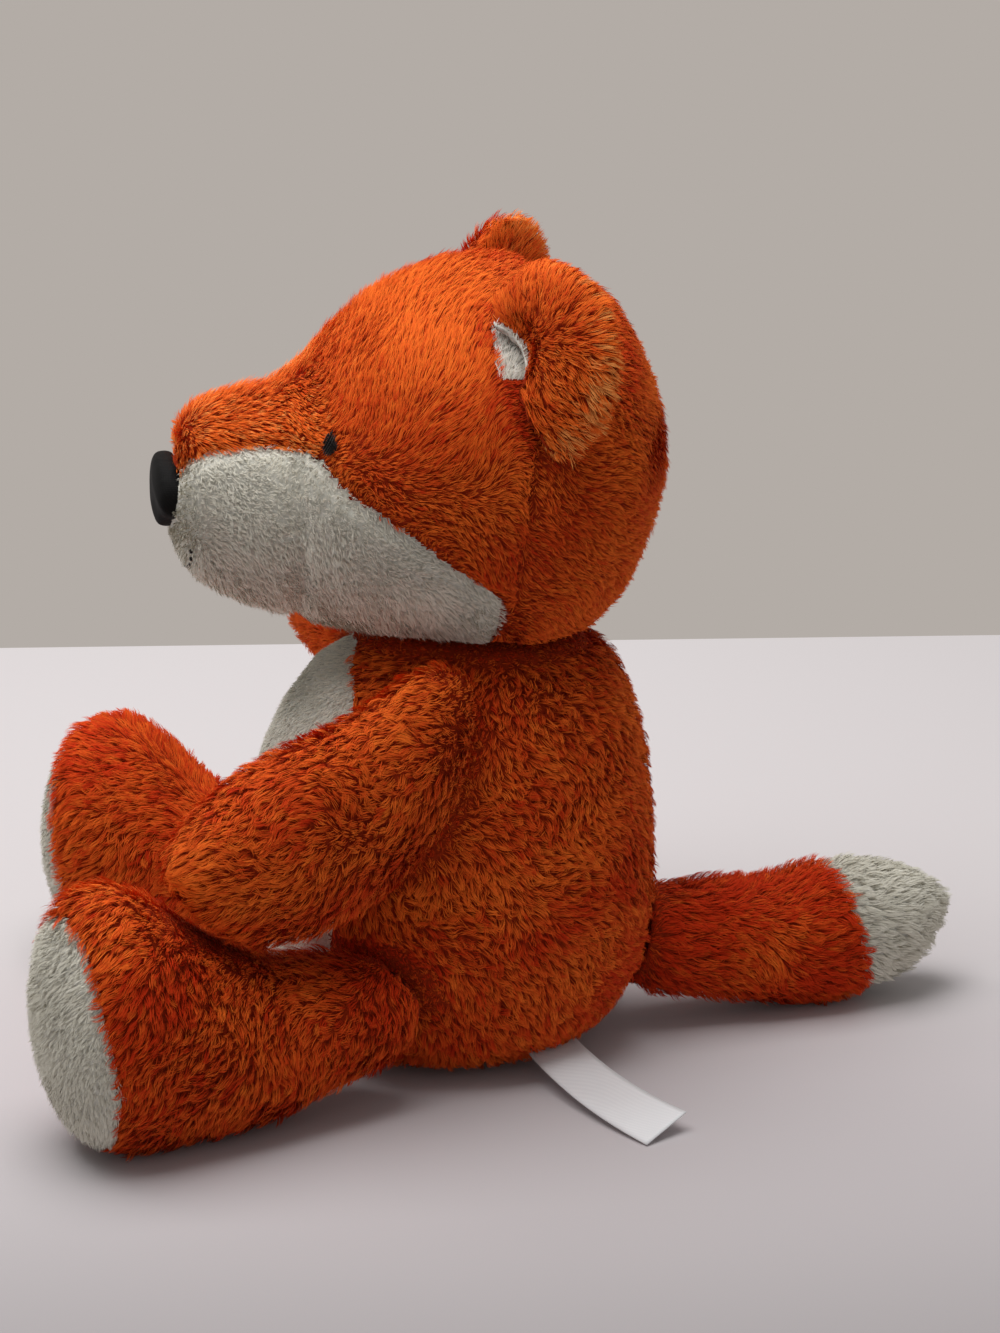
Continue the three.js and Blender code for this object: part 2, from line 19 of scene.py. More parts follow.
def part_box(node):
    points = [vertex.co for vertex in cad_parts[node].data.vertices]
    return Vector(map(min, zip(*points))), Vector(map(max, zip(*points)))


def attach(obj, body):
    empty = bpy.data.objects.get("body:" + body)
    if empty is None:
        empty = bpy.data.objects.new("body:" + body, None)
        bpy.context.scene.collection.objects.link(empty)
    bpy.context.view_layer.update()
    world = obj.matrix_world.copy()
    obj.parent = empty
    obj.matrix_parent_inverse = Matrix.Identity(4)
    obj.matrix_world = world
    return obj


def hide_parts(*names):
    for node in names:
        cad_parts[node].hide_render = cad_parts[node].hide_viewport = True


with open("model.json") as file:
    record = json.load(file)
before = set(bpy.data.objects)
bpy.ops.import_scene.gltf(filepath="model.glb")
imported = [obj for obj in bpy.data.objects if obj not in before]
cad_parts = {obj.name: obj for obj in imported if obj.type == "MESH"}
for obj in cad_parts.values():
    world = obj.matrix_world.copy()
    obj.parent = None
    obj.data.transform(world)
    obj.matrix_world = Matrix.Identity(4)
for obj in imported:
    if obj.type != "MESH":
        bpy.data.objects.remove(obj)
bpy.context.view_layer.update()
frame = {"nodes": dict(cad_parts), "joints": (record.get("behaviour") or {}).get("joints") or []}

MM = 0.001
rng = np.random.default_rng(11)

# The photograph's camera, and the pixel where it shows the middle of the seat
IMAGE_WIDTH, IMAGE_HEIGHT = 1000, 1333
AZIMUTH, ELEVATION = 82, 16
DISTANCE = 954
PIXELS_PER_MM = 3.53
SEAT_PIXEL = (480, 1030)
SENSOR_WIDTH, FOCAL = 36, PIXELS_PER_MM * DISTANCE
CLIP_NEAR, CLIP_FAR = 0.05, 20

# The floor's far edge, as the image rows where it crosses the image's two sides, and the light
FLOOR_EDGE_ROWS = (648, 635)
FLOOR_REACH = 1500
LAMP_PLACE, LAMP_SIZE, LAMP_WATTS = (30, -230, 1050), 900, 11.2
ROOM_LIGHT, ROOM_COLOUR = 0.31, (1, 0.99, 0.97, 1)

# Fabrics. Blender's wave texture turns through WAVE_RADIANS per metre at scale 1.
SHEEN_ROUGHNESS, SPECULAR = 0.4, 0.15
KNIT_SCALE, KNIT_DETAIL, KNIT_BUMP, KNIT_HEIGHT = 900, 3, 0.6, 0.4
WAVE_RADIANS = 20
WEAVE_DISTORTION, WEAVE_HEIGHT = 0.4, 0.15
CLOUD_SCALE, CLOUD_DETAIL, CLOUD_SHARE = 160, 4, 0.5

# Stuffed skins: mesh, slack, seams, and how far they are let out again, within limits
VOXEL, EAR_VOXEL = 2.8, 1.8
SKIN_ROUNDING, SMOOTHING = 3, 0.5
PUFF, EAR_PUFF = 2.0, 0.5
PROBE, EAR_PROBE = 7, 4
PILE_SHARE = 0.75
BARE_DEPTH = 0.9
SEAM_DEPTH, SEAM_WIDTH = 2.1, 2.2
PANEL_BLEND = 1.2
FULLNESS, LET_IN_LIMIT, LET_OUT_SHARE = 0.85, 1, 0.5
LUMP = 0.5
CLOTH_PRESSURE, CLOTH_FRAMES = 4, 20
FLOOR_GAP = 0.15

# Panels that meet flush, with no valley between
FLUSH = ("muzzle_left", "muzzle_right", "nose")

# Which forms lie over which, how they press down the pile below, and how much painted shade darkens the pile
# near them
LAYERS = {"body": 0, "leg": 1, "head": 1, "tail": 1, "arm": 2, "ear": 2}
COVER_REACH, COVER_TRIM, COVER_PAINTED_SHADE = 6.0, 0.5, 0.4

# Forms that touch close the gap between them, and a limb's root is drawn on to the body
TOUCH, TOUCH_DEPTH, TOUCH_TRIM = (3.0, 5.5), 0.2, 0.6
SEWN_GAP, SEWN_REACH = (4.0, 9.0), (15, 24)
SEWN_CLEAR = {"arm": 0.1, "leg": 1.3, "tail": 1.3}

# Where the ears' white linings run on to the head
EAR_ROOT_REACH, EAR_ROOT_RISE, EAR_ROOT_FRONT = 6.0, 195.5, 1.0

# Slow random waves: wavelengths and seeds
LUMP_WAVES, CRUSH_WAVES, SWIRL_WAVES, TINT_WAVES, FOLD_WAVES = (34, 3), (22, 5), (30, 6), (40, 9), (17, 21)
WAVE_COUNT, WAVE_SPREAD = 6, (0.6, 1.5)

# How strands vary from tuft to tuft and from strand to strand
CRUSH_LEAST, CRUSH_GAIN, CRUSH_RAMP = 0.55, 0.6, (-0.4, 1.0)
TURN_BY_TUFT, TURN_BY_STRAND, SWIRL = 0.85, 0.4, 0.45
LENGTH_BY_TUFT, LENGTH_BY_STRAND = 0.16, 0.1
SHORTEST, LONGEST = 0.55, 1.4
ROOT_ANGLE_SPREAD, TIP_ANGLE_SPREAD, LEAST_BEND = 8, 14, 0.05
SWAY_TURN = 5
STEP_POWER, GATHER_POWER = 0.9, 1.4
ROLL = 0.5
WIDTH_LEAST, WIDTH_SPREAD, TIP_NARROWING = 0.8, 0.4, 0.5
TINT_BY_TUFT, TINT_BY_STRAND, TINT_BY_PLACE = 0.14, 0.1, 0.1

# How much calmer, flatter, longer and less rolled fully sleek pile is, and how much of its painted root shade
# it skips, which makes it brighter
SLEEK_CALM, SLEEK_LEAN, SLEEK_LENGTH, SLEEK_ROLL, SLEEK_ROOT_UNSHADED = 0.8, 0.5, 0.35, 0.6, 0.6

# Pile along a seam: how far it leans off the seam, and how much shorter it is
SEAM_SPLAY, SEAM_TRIM = 1.8, 0.2

# How far the surface under a strand shades it, instead of its own face
SOFT_SHADE = 0.7

# The colour map: tints from dark to pale in columns, and strands from root to tip
TINT_COLUMNS = 16
COLUMN_LOW, COLUMN_MIDDLE, COLUMN_HIGH = 0.15, 0.5, 0.85
TINT_MIDDLE = 0.5
# Only painted light lifts a tint past PALEST into the pale colour
PALEST, PALEST_GAIN, PALEST_LIMIT = 0.8, 0.5, 0.999
ROOT_LIMIT, TIP_LIMIT = 0.02, 0.98

# Combs: the pile's way, with the face toward -y, how sleek it lies and how much painted light lightens it, or
# below 0 painted shade darkens it
PLAIN_COMBS = {
    "belly": ((0, -0.2, -1.0), 0.7, 0),
    # The soles darken with painted shade, low by the floor
    "sole": ((0, 0.1, -1.0), 0.4, -0.35),
    # The linings lighten with painted light, in the ears' shade
    "ear_lining": ((0, 0.2, 1.0), 0.5, 0.5),
}
CHEEK_WAY, BROW_WAY, REAR_WAY = (0, 1, -0.25), (0, 0.55, 0.85), (0, 0.75, -0.55)
BROW_RISE, BROW_SLOPE = (158, 178), 0.25
SNOUT_FORWARD, SNOUT_RISE = (34, 52), (150, 160)
SNOUT_OUT, SNOUT_BACK, SNOUT_UP, SNOUT_DOWN = 0.3, 0.8, 0.3, 0.9
SNOUT_PARTING = 9
REAR_BACK = (-6, 6)
BROW_SLEEK, SNOUT_SLEEK = 0.7, 0.95
# Painted light on the brow and the snout top, where light falls; a little painted shade on the rest of the
# head
BROW_PAINTED_LIGHT, SNOUT_PAINTED_LIGHT, HEAD_PAINTED_LIGHT = 0.06, 0.3, -0.04
MUZZLE_SLEEK, MUZZLE_RING = 0.45, (17, 26)
FLANK_HEIGHT, FLANK_BACK, FLANK_LIFT, BODY_DOWN = 110, 0.75, 0.3, 0.9
# Painted shade over the body, deeper toward the seat
BODY_SLEEK, BODY_PAINTED_LIGHT, SEAT_PAINTED_SHADE, SEAT_RISE = 0.1, -0.06, -0.14, (20, 80)
# Painted light on the ears, and a painted highlight that pales their rims
EAR_SLEEK, EAR_PAINTED_LIGHT, RIM_PAINTED_LIGHT, RIM_RING = 0.5, 0.05, 0.3, (19, 26)

# How far a limb's pile is combed down, how sleek its sides and its top lie, and how much painted light
# lightens it, or below 0 painted shade darkens it
LIMB_COMBS = {
    "arm": (-0.4, 0.35, 0.45, -0.03),
    # The legs darken with painted shade low by the floor, the tail with the body's painted shadow
    "leg": (0.9, 0.3, 0.7, -0.2),
    "tail": (0.25, 0.4, 0.5, -0.4),
}
TOP_NORMAL = (0.1, 0.8)

# Eyes: leaning patches of thread, and the slit in the pile round them
EYE_LENGTH, EYE_HEIGHT, EYE_TILT = 3.2, 7.4, 27
EYE_FORWARD, EYE_RISE = 43.2, 179
EYE_THREADS, EYE_STEPS, EYE_THREAD_SHARE = 7, 7, 0.8
EYE_CROWN, EYE_EDGE = 0.9, 2.8
EYE_SLIT = (0.6, 2.3)

# Mouth: a smile of running stitches, and two above its middle
THREAD_RADIUS = 0.45
MOUTH_WIDTH, MOUTH_HEIGHT, MOUTH_RISE, MOUTH_END_ANGLE = 39, 11.5, 138.5, 8
MOUTH_INSET, MOUTH_SUNK, MOUTH_CLEAR = 1.7, 1.8, 0.9
MOUTH_STITCHES, STITCH_SHARE, STITCH_LEAD, STITCH_STEPS = 11, 0.5, 0.14, 4
LIP_STITCHES, LIP_STITCH_LENGTH = (1.6, 5.0), 2.6

# Nose
NOSE_VOXEL, NOSE_ROUNDING, NOSE_FILL, NOSE_FOLD = 1.0, 24, 0.5, 0.5

# Threads: how they round off at their ends, and where in metres the rays that lay them start
END_POWER, END_LEAST = 6, 0.05
EYE_RAY_START, MOUTH_RAY_START = 0.2, -0.3

# Satin label: the middle line's three control points, its flat size and its twist
LABEL_ROOT, LABEL_BEND, LABEL_END = (26, 15, 7), (58, 22, 4.5), (81.3, 38.3, 3)
LABEL_WIDTH, LABEL_THICKNESS, LABEL_LENGTH = 15.5, 0.4, 62
LABEL_TWIST, LABEL_CURL, LABEL_RIPPLES = 18, 0.35, 3
LABEL_STEPS_ALONG, LABEL_STEPS_ACROSS = 48, 10

# Gathering thread of the neck
NECK_RING_RADIUS, NECK_RING_RISE, NECK_BACK = 23, 124.1, 3
NECK_THREAD_SHARE, NECK_STEPS = 1.6, 48


@dataclass
class Pile:
    """A pile: lengths in millimetres, strands per square millimetre, angles in degrees above the backing."""

    length: float
    width: float
    density: float
    tuft: float
    root_angle: float
    tip_angle: float
    turn: float
    curl: float
    gather: float
    segments: int

    @property
    def height(self):
        """How far the pile stands off its backing."""
        start, end = math.radians(self.root_angle), math.radians(self.tip_angle)
        return self.length * (math.cos(end) - math.cos(start)) / (start - end)


# In the order of Pile's values
LONG = Pile(3.6, 0.21, 3.4, 1.8, 78, 0, 32, 0.5, 0.55, 3)
FACE = Pile(3.0, 0.20, 4.0, 1.05, 76, 4, 18, 0.3, 0.5, 2)
FRINGE = Pile(3.5, 0.21, 3.6, 1.3, 78, 4, 20, 0.35, 0.4, 3)
SHORT = Pile(2.0, 0.19, 4.6, 0.85, 82, 22, 45, 0.2, 0.4, 2)
CLIPPED = Pile(1.3, 0.20, 4.5, 0.6, 76, 10, 30, 0.1, 0.2, 2)


# Helpers

def srgb(red, green, blue):
    """A colour of 0 to 255 as Blender's linear one."""
    def linear(value):
        value /= 255
        return value / 12.92 if value <= 0.04045 else ((value + 0.055) / 1.055) ** 2.4
    return linear(red), linear(green), linear(blue), 1.0


def unit(vectors):
    return vectors / np.maximum(np.linalg.norm(vectors, axis=-1, keepdims=True), 1e-12)


def ramp(values, low, high):
    """0 below low, 1 above high, smooth between."""
    share = np.clip((values - low) / (high - low), 0, 1)
    return share * share * (3 - 2 * share)


def waves(at, wavelength, seed):
    """Slow random waves over the points, about one either way."""
    source = np.random.default_rng(seed)
    total = np.zeros(len(at))
    for _ in range(WAVE_COUNT):
        way = unit(source.normal(size=3))
        number = 2 * math.pi / (wavelength * MM) * source.uniform(*WAVE_SPREAD)
        total += np.sin(at @ way * number + source.uniform(0, 2 * math.pi))
    return total / math.sqrt(WAVE_COUNT / 2)


def link(obj):
    bpy.context.scene.collection.objects.link(obj)
    return obj


def built(name, bm):
    """The mesh as an object in the scene."""
    mesh = bpy.data.meshes.new(name)
    bm.to_mesh(mesh)
    bm.free()
    return link(bpy.data.objects.new(name, mesh))


def smoothed(obj):
    """Shades the object's faces smoothly."""
    obj.data.polygons.foreach_set("use_smooth", [True] * len(obj.data.polygons))
    return obj


def place(obj, body, material):
    """Puts a finished piece on its body, with its finish."""
    obj.data.materials.clear()
    obj.data.materials.append(material)
    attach(obj, body)
    return obj


def settled(obj):
    """Works the object's modifiers into its mesh."""
    graph = bpy.context.evaluated_depsgraph_get()
    mesh = bpy.data.meshes.new_from_object(obj.evaluated_get(graph))
    obj.modifiers.clear()
    obj.data = mesh
    return obj


def rows_of(items, key, kind=float):
    """A value of three numbers of every item, as rows."""
    values = np.empty(len(items) * 3, kind)
    items.foreach_get(key, values)
    return values.reshape(-1, 3)


def corners_of(mesh):
    return rows_of(mesh.vertices, "co")


def normals_of(mesh):
    return rows_of(mesh.vertex_normals, "vector")


def triangles_of(mesh):
    mesh.calc_loop_triangles()
    return rows_of(mesh.loop_triangles, "vertices", np.int64)


def set_corners(mesh, co):
    mesh.vertices.foreach_set("co", co.ravel())
    mesh.update()


@cache
def tree_of(*nodes):
    """A search tree over the faces of the CAD nodes."""
    corners, faces = [], []
    for node in nodes:
        mesh, first = frame["nodes"][node].data, len(corners)
        corners += [v.co for v in mesh.vertices]
        faces += [[first + i for i in p.vertices] for p in mesh.polygons]
    return BVHTree.FromPolygons(corners, faces)


def distances(at, tree):
    return np.array([tree.find_nearest(point)[3] for point in at.tolist()])


# Materials

def bare_material(name, roughness, sheen=0.0, sheen_tint=(1, 1, 1, 1)):
    material = bpy.data.materials.new(name)
    material.use_nodes = True
    shader = material.node_tree.nodes["Principled BSDF"]
    shader.inputs["Roughness"].default_value = roughness
    shader.inputs["Sheen Weight"].default_value = sheen
    shader.inputs["Sheen Roughness"].default_value = SHEEN_ROUGHNESS
    shader.inputs["Sheen Tint"].default_value = sheen_tint
    shader.inputs["Specular IOR Level"].default_value = SPECULAR
    return material, shader


def node(material, kind, **values):
    made = material.node_tree.nodes.new(kind)
    for key, value in values.items():
        setattr(made, key, value)
    return made


def join(material, start, end):
    material.node_tree.links.new(start, end)


def coloured_ramp(material, factor, stops):
    """A colour ramp on the factor, through (share, colour) stops."""
    made = node(material, "ShaderNodeValToRGB")
    elements = made.color_ramp.elements
    while len(elements) < len(stops):
        elements.new(0.5)
    for element, (share, colour) in zip(elements, stops):
        element.position = share
        element.color = colour
    join(material, factor, made.inputs["Fac"])
    return made.outputs["Color"]


def uv_of(material, name):
    """The numbers of a UV map, apart."""
    coordinates = node(material, "ShaderNodeUVMap", uv_map=name)
    split = node(material, "ShaderNodeSeparateXYZ")
    join(material, coordinates.outputs["UV"], split.inputs["Vector"])
    return split.outputs


def mixed(material, kind, factor, first, second):
    made = node(material, "ShaderNodeMix", data_type="RGBA", blend_type=kind)
    made.inputs["Factor"].default_value = factor if isinstance(factor, float) else 1.0
    if not isinstance(factor, float):
        join(material, factor, made.inputs["Factor"])
    join(material, first, made.inputs["A"])
    join(material, second, made.inputs["B"])
    return made.outputs["Result"]


def add_bump(material, shader, height, strength, distance):
    bump = node(material, "ShaderNodeBump")
    bump.inputs["Strength"].default_value = strength
    bump.inputs["Distance"].default_value = distance * MM
    join(material, height, bump.inputs["Height"])
    join(material, bump.outputs["Normal"], shader.inputs["Normal"])


def pile_material(name, dark, light, pale, root, sheen):
    """Strands darkened toward their root by painted shade, each tinted by its column."""
    material, shader = bare_material(name, roughness=0.85, sheen=sheen, sheen_tint=light)
    uv = uv_of(material, "OFBake")
    tint = coloured_ramp(material, uv["X"], [(0.0, dark), (0.8, light), (1.0, pale)])
    middle = tuple((1 + share) / 2 for share in root)
    # Painted shade: the root share darkens and reddens each strand toward its root, as deep in the pile
    shade = coloured_ramp(material, uv["Y"], [(0.0, root), (0.35, middle), (0.8, (1, 1, 1, 1))])
    join(material, mixed(material, "MULTIPLY", 1.0, tint, shade), shader.inputs["Base Color"])
    return material


def backing_material(name, dark, light):
    """The knitted ground that the pile grows from."""
    material, shader = bare_material(name, roughness=0.95)
    coordinates = node(material, "ShaderNodeTexCoord")
    knit = node(material, "ShaderNodeTexNoise")
    knit.inputs["Scale"].default_value = KNIT_SCALE
    knit.inputs["Detail"].default_value = KNIT_DETAIL
    join(material, coordinates.outputs["Object"], knit.inputs["Vector"])
    colour = coloured_ramp(material, knit.outputs["Fac"], [(0.35, dark), (0.65, light)])
    join(material, colour, shader.inputs["Base Color"])
    add_bump(material, shader, knit.outputs["Fac"], KNIT_BUMP, KNIT_HEIGHT)
    return material


def woven_material(name, dark, light, roughness, sheen, radians_per_mm, strength):
    """A fine flat weave: two crossed sets of threads, with slow changes of shade."""
    material, shader = bare_material(name, roughness, sheen)
    coordinates = node(material, "ShaderNodeTexCoord")
    heights = []
    for direction in ("DIAGONAL", "Z"):
        wave = node(material, "ShaderNodeTexWave", bands_direction=direction)
        wave.inputs["Scale"].default_value = radians_per_mm / MM / WAVE_RADIANS
        wave.inputs["Distortion"].default_value = WEAVE_DISTORTION
        join(material, coordinates.outputs["Object"], wave.inputs["Vector"])
        heights.append(wave.outputs["Color"])
    weave = mixed(material, "MULTIPLY", 1.0, *heights)
    cloud = node(material, "ShaderNodeTexNoise")
    cloud.inputs["Scale"].default_value = CLOUD_SCALE
    cloud.inputs["Detail"].default_value = CLOUD_DETAIL
    join(material, coordinates.outputs["Object"], cloud.inputs["Vector"])
    both = mixed(material, "MIX", CLOUD_SHARE, weave, cloud.outputs["Color"])
    join(material, coloured_ramp(material, both, [(0.25, dark), (0.75, light)]), shader.inputs["Base Color"])
    add_bump(material, shader, weave, strength, WEAVE_HEIGHT)
    return material


# The root colours are painted shade deep in the pile
ORANGE_PILE = pile_material("orange pile", dark=srgb(212, 48, 8), light=srgb(253, 122, 38),
                            pale=srgb(255, 172, 92), root=(0.58, 0.36, 0.27, 1), sheen=0.15)
WHITE_PILE = pile_material("white pile", dark=srgb(224, 220, 205), light=srgb(247, 243, 230),
                           pale=srgb(255, 253, 246), root=(0.85, 0.81, 0.76, 1), sheen=0.1)
ORANGE_BACKING = backing_material("orange backing", dark=srgb(130, 34, 6), light=srgb(160, 48, 10))
WHITE_BACKING = backing_material("white backing", dark=srgb(190, 188, 178), light=srgb(215, 213, 204))
NOSE_FABRIC = woven_material("black fabric", dark=srgb(5, 5, 5), light=srgb(16, 15, 15),
                             roughness=0.75, sheen=0.02, radians_per_mm=12, strength=0.3)
DARK_THREAD = woven_material("dark thread", dark=srgb(14, 11, 10), light=srgb(38, 32, 30),
                             roughness=0.5, sheen=0.1, radians_per_mm=12, strength=0.4)
SATIN = woven_material("satin", dark=srgb(234, 234, 236), light=srgb(243, 243, 244),
                       roughness=0.34, sheen=0.3, radians_per_mm=22, strength=0.05)

# The backdrop, and the floor from its far edge to its near one, with painted light that falls off from the
# far edge and a painted shadow in its dark band
WALL = srgb(179, 172, 166)
FLOOR_PAINTED_LIGHT = [(0.0, srgb(229, 223, 224)), (0.2, srgb(217, 211, 212)), (0.3, srgb(205, 198, 200)),
                (0.42, srgb(164, 159, 160)), (0.6, srgb(212, 206, 207))]


# Stuffed skins

@dataclass
class Form:
    """A stuffed form: its body, its panels' pile and finish, its filling and how full it is, how its seams
    crease, and its skin's mesh size, slack and probing distance."""

    name: str
    body: str
    panels: dict
    fillings: tuple
    fill: float
    crease: float
    voxel: float = VOXEL
    puff: float = PUFF
    probe: float = PROBE

    @property
    def kind(self):
        return self.name.split("_")[0]


def orange(*names, pile=LONG):
    return {name: (pile, ORANGE_PILE, "orange_plush") for name in names}


def white(*names, pile=SHORT):
    return {name: (pile, WHITE_PILE, "white_plush") for name in names}


def sided(side):
    """The ear, arm and leg of one side."""
    return [
        Form(f"ear_{side}", "head",
             orange(f"ear_{side}", pile=FRINGE) | white(f"ear_lining_{side}"), (),
             fill=0.5, crease=0.6, voxel=EAR_VOXEL, puff=EAR_PUFF, probe=EAR_PROBE),
        Form(f"arm_{side}", f"arm_{side}",
             orange(f"arm_outer_{side}", f"arm_inner_{side}"), (f"arm_filling_{side}",),
             fill=0.7, crease=0.3),
        Form(f"leg_{side}", f"leg_{side}",
             orange(f"leg_outer_{side}", f"leg_inner_{side}") | white(f"sole_{side}"),
             (f"leg_filling_{side}",), fill=0.8, crease=0.4),
    ]


FORMS = [
    Form("body", "body", orange("body_cover") | white("belly_panel", pile=CLIPPED), ("body_filling",),
         fill=0.8, crease=0.6),
    Form("head", "head",
         orange("head_back", "head_face", pile=FACE)
         | white("muzzle_left", "muzzle_right", "cheek_left", "cheek_right")
         | {"nose": None}, ("head_filling",), fill=0.85, crease=1.0),
    *sided("left"), *sided("right"),
    Form("tail", "tail",
         orange("tail_panel_left", "tail_panel_right") | white("tail_tip", pile=LONG), ("tail_filling",),
         fill=0.7, crease=0.5),
]


def outermost(obj):
    """Keeps only the part of the mesh that holds its furthest corner."""
    bm = bmesh.new()
    bm.from_mesh(obj.data)
    found = {max(bm.verts, key=lambda v: v.co.length)}
    edge = list(found)
    while edge:
        edge = [w for v in edge for e in v.link_edges for w in e.verts if w not in found and not found.add(w)]
    bmesh.ops.delete(bm, geom=[v for v in bm.verts if v not in found], context="VERTS")
    bm.to_mesh(obj.data)
    bm.free()


def shell_of(name, nodes, voxel, rounding=SKIN_ROUNDING):
    """One closed skin round copies of the CAD nodes."""
    bm = bmesh.new()
    for source in nodes:
        bm.from_mesh(frame["nodes"][source].data)
    obj = built(name, bm)
    remesh = obj.modifiers.new("remesh", "REMESH")
    remesh.mode = "VOXEL"
    remesh.voxel_size = voxel * MM
    smooth = obj.modifiers.new("smooth", "SMOOTH")
    smooth.factor = SMOOTHING
    smooth.iterations = rounding
    settled(obj)
    outermost(obj)
    return obj


def seam_share(form, reach):
    """The form's crease on a seam between two panels and 0 away from it, from the distances to the panels."""
    flush = np.array([name in FLUSH for name in form.panels])
    if flush.any():
        reach = np.column_stack([reach[:, ~flush], reach[:, flush].min(axis=1)])
    if reach.shape[1] < 2:
        return np.zeros(len(reach))
    nearest = np.sort(reach, axis=1)
    return form.crease * np.exp(-((nearest[:, 1] - nearest[:, 0]) / (SEAM_WIDTH * MM)) ** 2)


def reach_of(form, at):
    return np.stack([distances(at, tree_of(panel)) for panel in form.panels], axis=1)


def off_seam(form, at, reach):
    """The way from each point's second nearest panel to the point."""
    if len(form.panels) < 2:
        return np.zeros_like(at)
    trees = [tree_of(panel) for panel in form.panels]
    second = np.argsort(reach, axis=1)[:, 1]
    nearest = np.array([trees[i].find_nearest(point)[0] for point, i in zip(at, second)])
    return unit(at - nearest)


def let_out(form, at, normal, reach):
    """The skin's points, let out until the tips of the pile reach the CAD fabric's face."""
    tree = tree_of(*form.panels)
    touch = touching(form, at)
    target = (pile_depth(form, reach) + SEAM_DEPTH * seam_share(form, reach)) * (1 - touch) * MM
    target += TOUCH_DEPTH * touch * MM
    probe = form.probe * MM
    moves = np.zeros(len(at))
    for i, (point, way) in enumerate(zip(at, normal)):
        gap = tree.ray_cast(Vector(point + way * probe), Vector(-way), 2 * probe)[3]
        if gap is not None:
            moves[i] = np.clip(probe - gap - target[i], -LET_IN_LIMIT * MM, LET_OUT_SHARE * probe)
    return at + normal * (moves * FULLNESS)[:, None]


def sewn_on(form, at):
    """The skin's points, with a limb's root drawn on to the body where it is sewn."""
    clear = SEWN_CLEAR.get(form.kind)
    if clear is None:
        return at
    tree = tree_of("body_cover", "belly_panel")
    far = np.linalg.norm(at - joint_of(form), axis=1) / MM
    for i in np.flatnonzero(far < SEWN_REACH[1]):
        on, _, _, gap = tree.find_nearest(at[i].tolist())
        share = (1 - ramp(gap / MM, *SEWN_GAP)) * (1 - ramp(far[i], *SEWN_REACH))
        at[i] += (np.array(on) - at[i]) * share * max(0, 1 - clear * MM / max(gap, 1e-9))
    return at


def pile_depth(form, reach):
    """How far the backing lies inside the CAD fabric's face, from the panels near each point."""
    depths = [finish[0].height * PILE_SHARE if finish else BARE_DEPTH for finish in form.panels.values()]
    near = np.exp(-(reach - reach.min(axis=1, keepdims=True)) / (PANEL_BLEND * MM))
    return (near * depths).sum(axis=1) / near.sum(axis=1)


def drawn_in(form):
    """The form's skin, slack and drawn in along its seams, ready to be blown up."""
    obj = shell_of(f"{form.name}_skin", [*form.panels, *form.fillings], form.voxel)
    at, normal = corners_of(obj.data), normals_of(obj.data)
    reach = reach_of(form, at)
    seam = seam_share(form, reach)
    lumps = waves(at, *LUMP_WAVES) * LUMP
    depth = pile_depth(form, reach) + form.puff * (1 - seam) + SEAM_DEPTH * seam - lumps
    set_corners(obj.data, at - normal * (depth * MM)[:, None])
    group = obj.vertex_groups.new(name="seam")
    for i, weight in enumerate(seam):
        group.add([i], float(weight), "REPLACE")
    return obj, seam, form.puff * MM


def blow_up(skins):
    """Puffs the slack skins out between their seams, no vertex by more than its form's puff."""
    starts = [corners_of(obj.data) for obj, _, _ in skins]
    for obj, _, _ in skins:
        cloth = obj.modifiers.new("cloth", "CLOTH")
        cloth.settings.use_pressure = True
        cloth.settings.uniform_pressure_force = CLOTH_PRESSURE
        cloth.settings.effector_weights.gravity = 0
        cloth.settings.vertex_group_mass = "seam"
        cloth.collision_settings.use_collision = False
    for number in range(1, CLOTH_FRAMES + 1):
        bpy.context.scene.frame_set(number)
    for (obj, seam, puff), start in zip(skins, starts):
        settled(obj)
        move = corners_of(obj.data) - start
        far = np.linalg.norm(move, axis=1, keepdims=True)
        move *= np.minimum(1, puff / np.maximum(far, 1e-9))
        set_corners(obj.data, start + move)
    bpy.context.scene.frame_set(1)


def finish_skin(form, obj):
    """Subdivides the skin, lets it out and gives each face the backing of its nearest panel."""
    obj.modifiers.new("subdivision", "SUBSURF").levels = 1
    settled(obj)
    obj.vertex_groups.clear()
    mesh = obj.data
    mesh.materials.clear()
    for material in (ORANGE_BACKING, WHITE_BACKING):
        mesh.materials.append(material)
    at = corners_of(mesh)
    reach = reach_of(form, at)
    set_corners(mesh, sewn_on(form, let_out(form, at, normals_of(mesh), reach)))
    at = corners_of(mesh)
    piled = [i for i, finish in enumerate(form.panels.values()) if finish]
    white_panels = np.array([finish[1] is WHITE_PILE for finish in form.panels.values() if finish], int)
    backing = white_panels[reach[:, piled].argmin(axis=1)]
    if form.name == "head":
        backing[ear_root(at)] = 1
    mesh.polygons.foreach_set("material_index", [int(backing[p.vertices[0]]) for p in mesh.polygons])
    smoothed(obj)
    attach(obj, form.body)
    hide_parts(*[name for name in (*form.panels, *form.fillings) if name != "nose"])
    return at, reach, off_seam(form, at, reach)


# Pile

def scatter(mesh, at, reach, off, density):
    """Random roots over the skin, with their normals, distances to the panels and ways off the seam."""
    triangles = triangles_of(mesh)
    a, b, c = (at[triangles[:, i]] for i in range(3))
    area = np.linalg.norm(np.cross(b - a, c - a), axis=1) / 2
    count = int(area.sum() / MM ** 2 * density)
    chosen = triangles[rng.choice(len(triangles), count, p=area / area.sum())]
    first, second = rng.random((2, count))
    over = first + second > 1
    first[over], second[over] = 1 - first[over], 1 - second[over]
    shares = np.stack([1 - first - second, first, second], axis=1)[..., None]
    normals = normals_of(mesh)
    return ((at[chosen] * shares).sum(1), unit((normals[chosen] * shares).sum(1)),
            (reach[chosen] * shares).sum(1), (off[chosen] * shares).sum(1))


def tuft_of(at, share):
    """The index of each root's tuft's middle root; a share of the roots are such middles."""
    count = max(1, int(len(at) * share))
    centres = rng.choice(len(at), count, replace=False)
    tree = KDTree(count)
    for i, centre in enumerate(centres):
        tree.insert(at[centre], i)
    tree.balance()
    return centres[[tree.find(point)[1] for point in at.tolist()]]


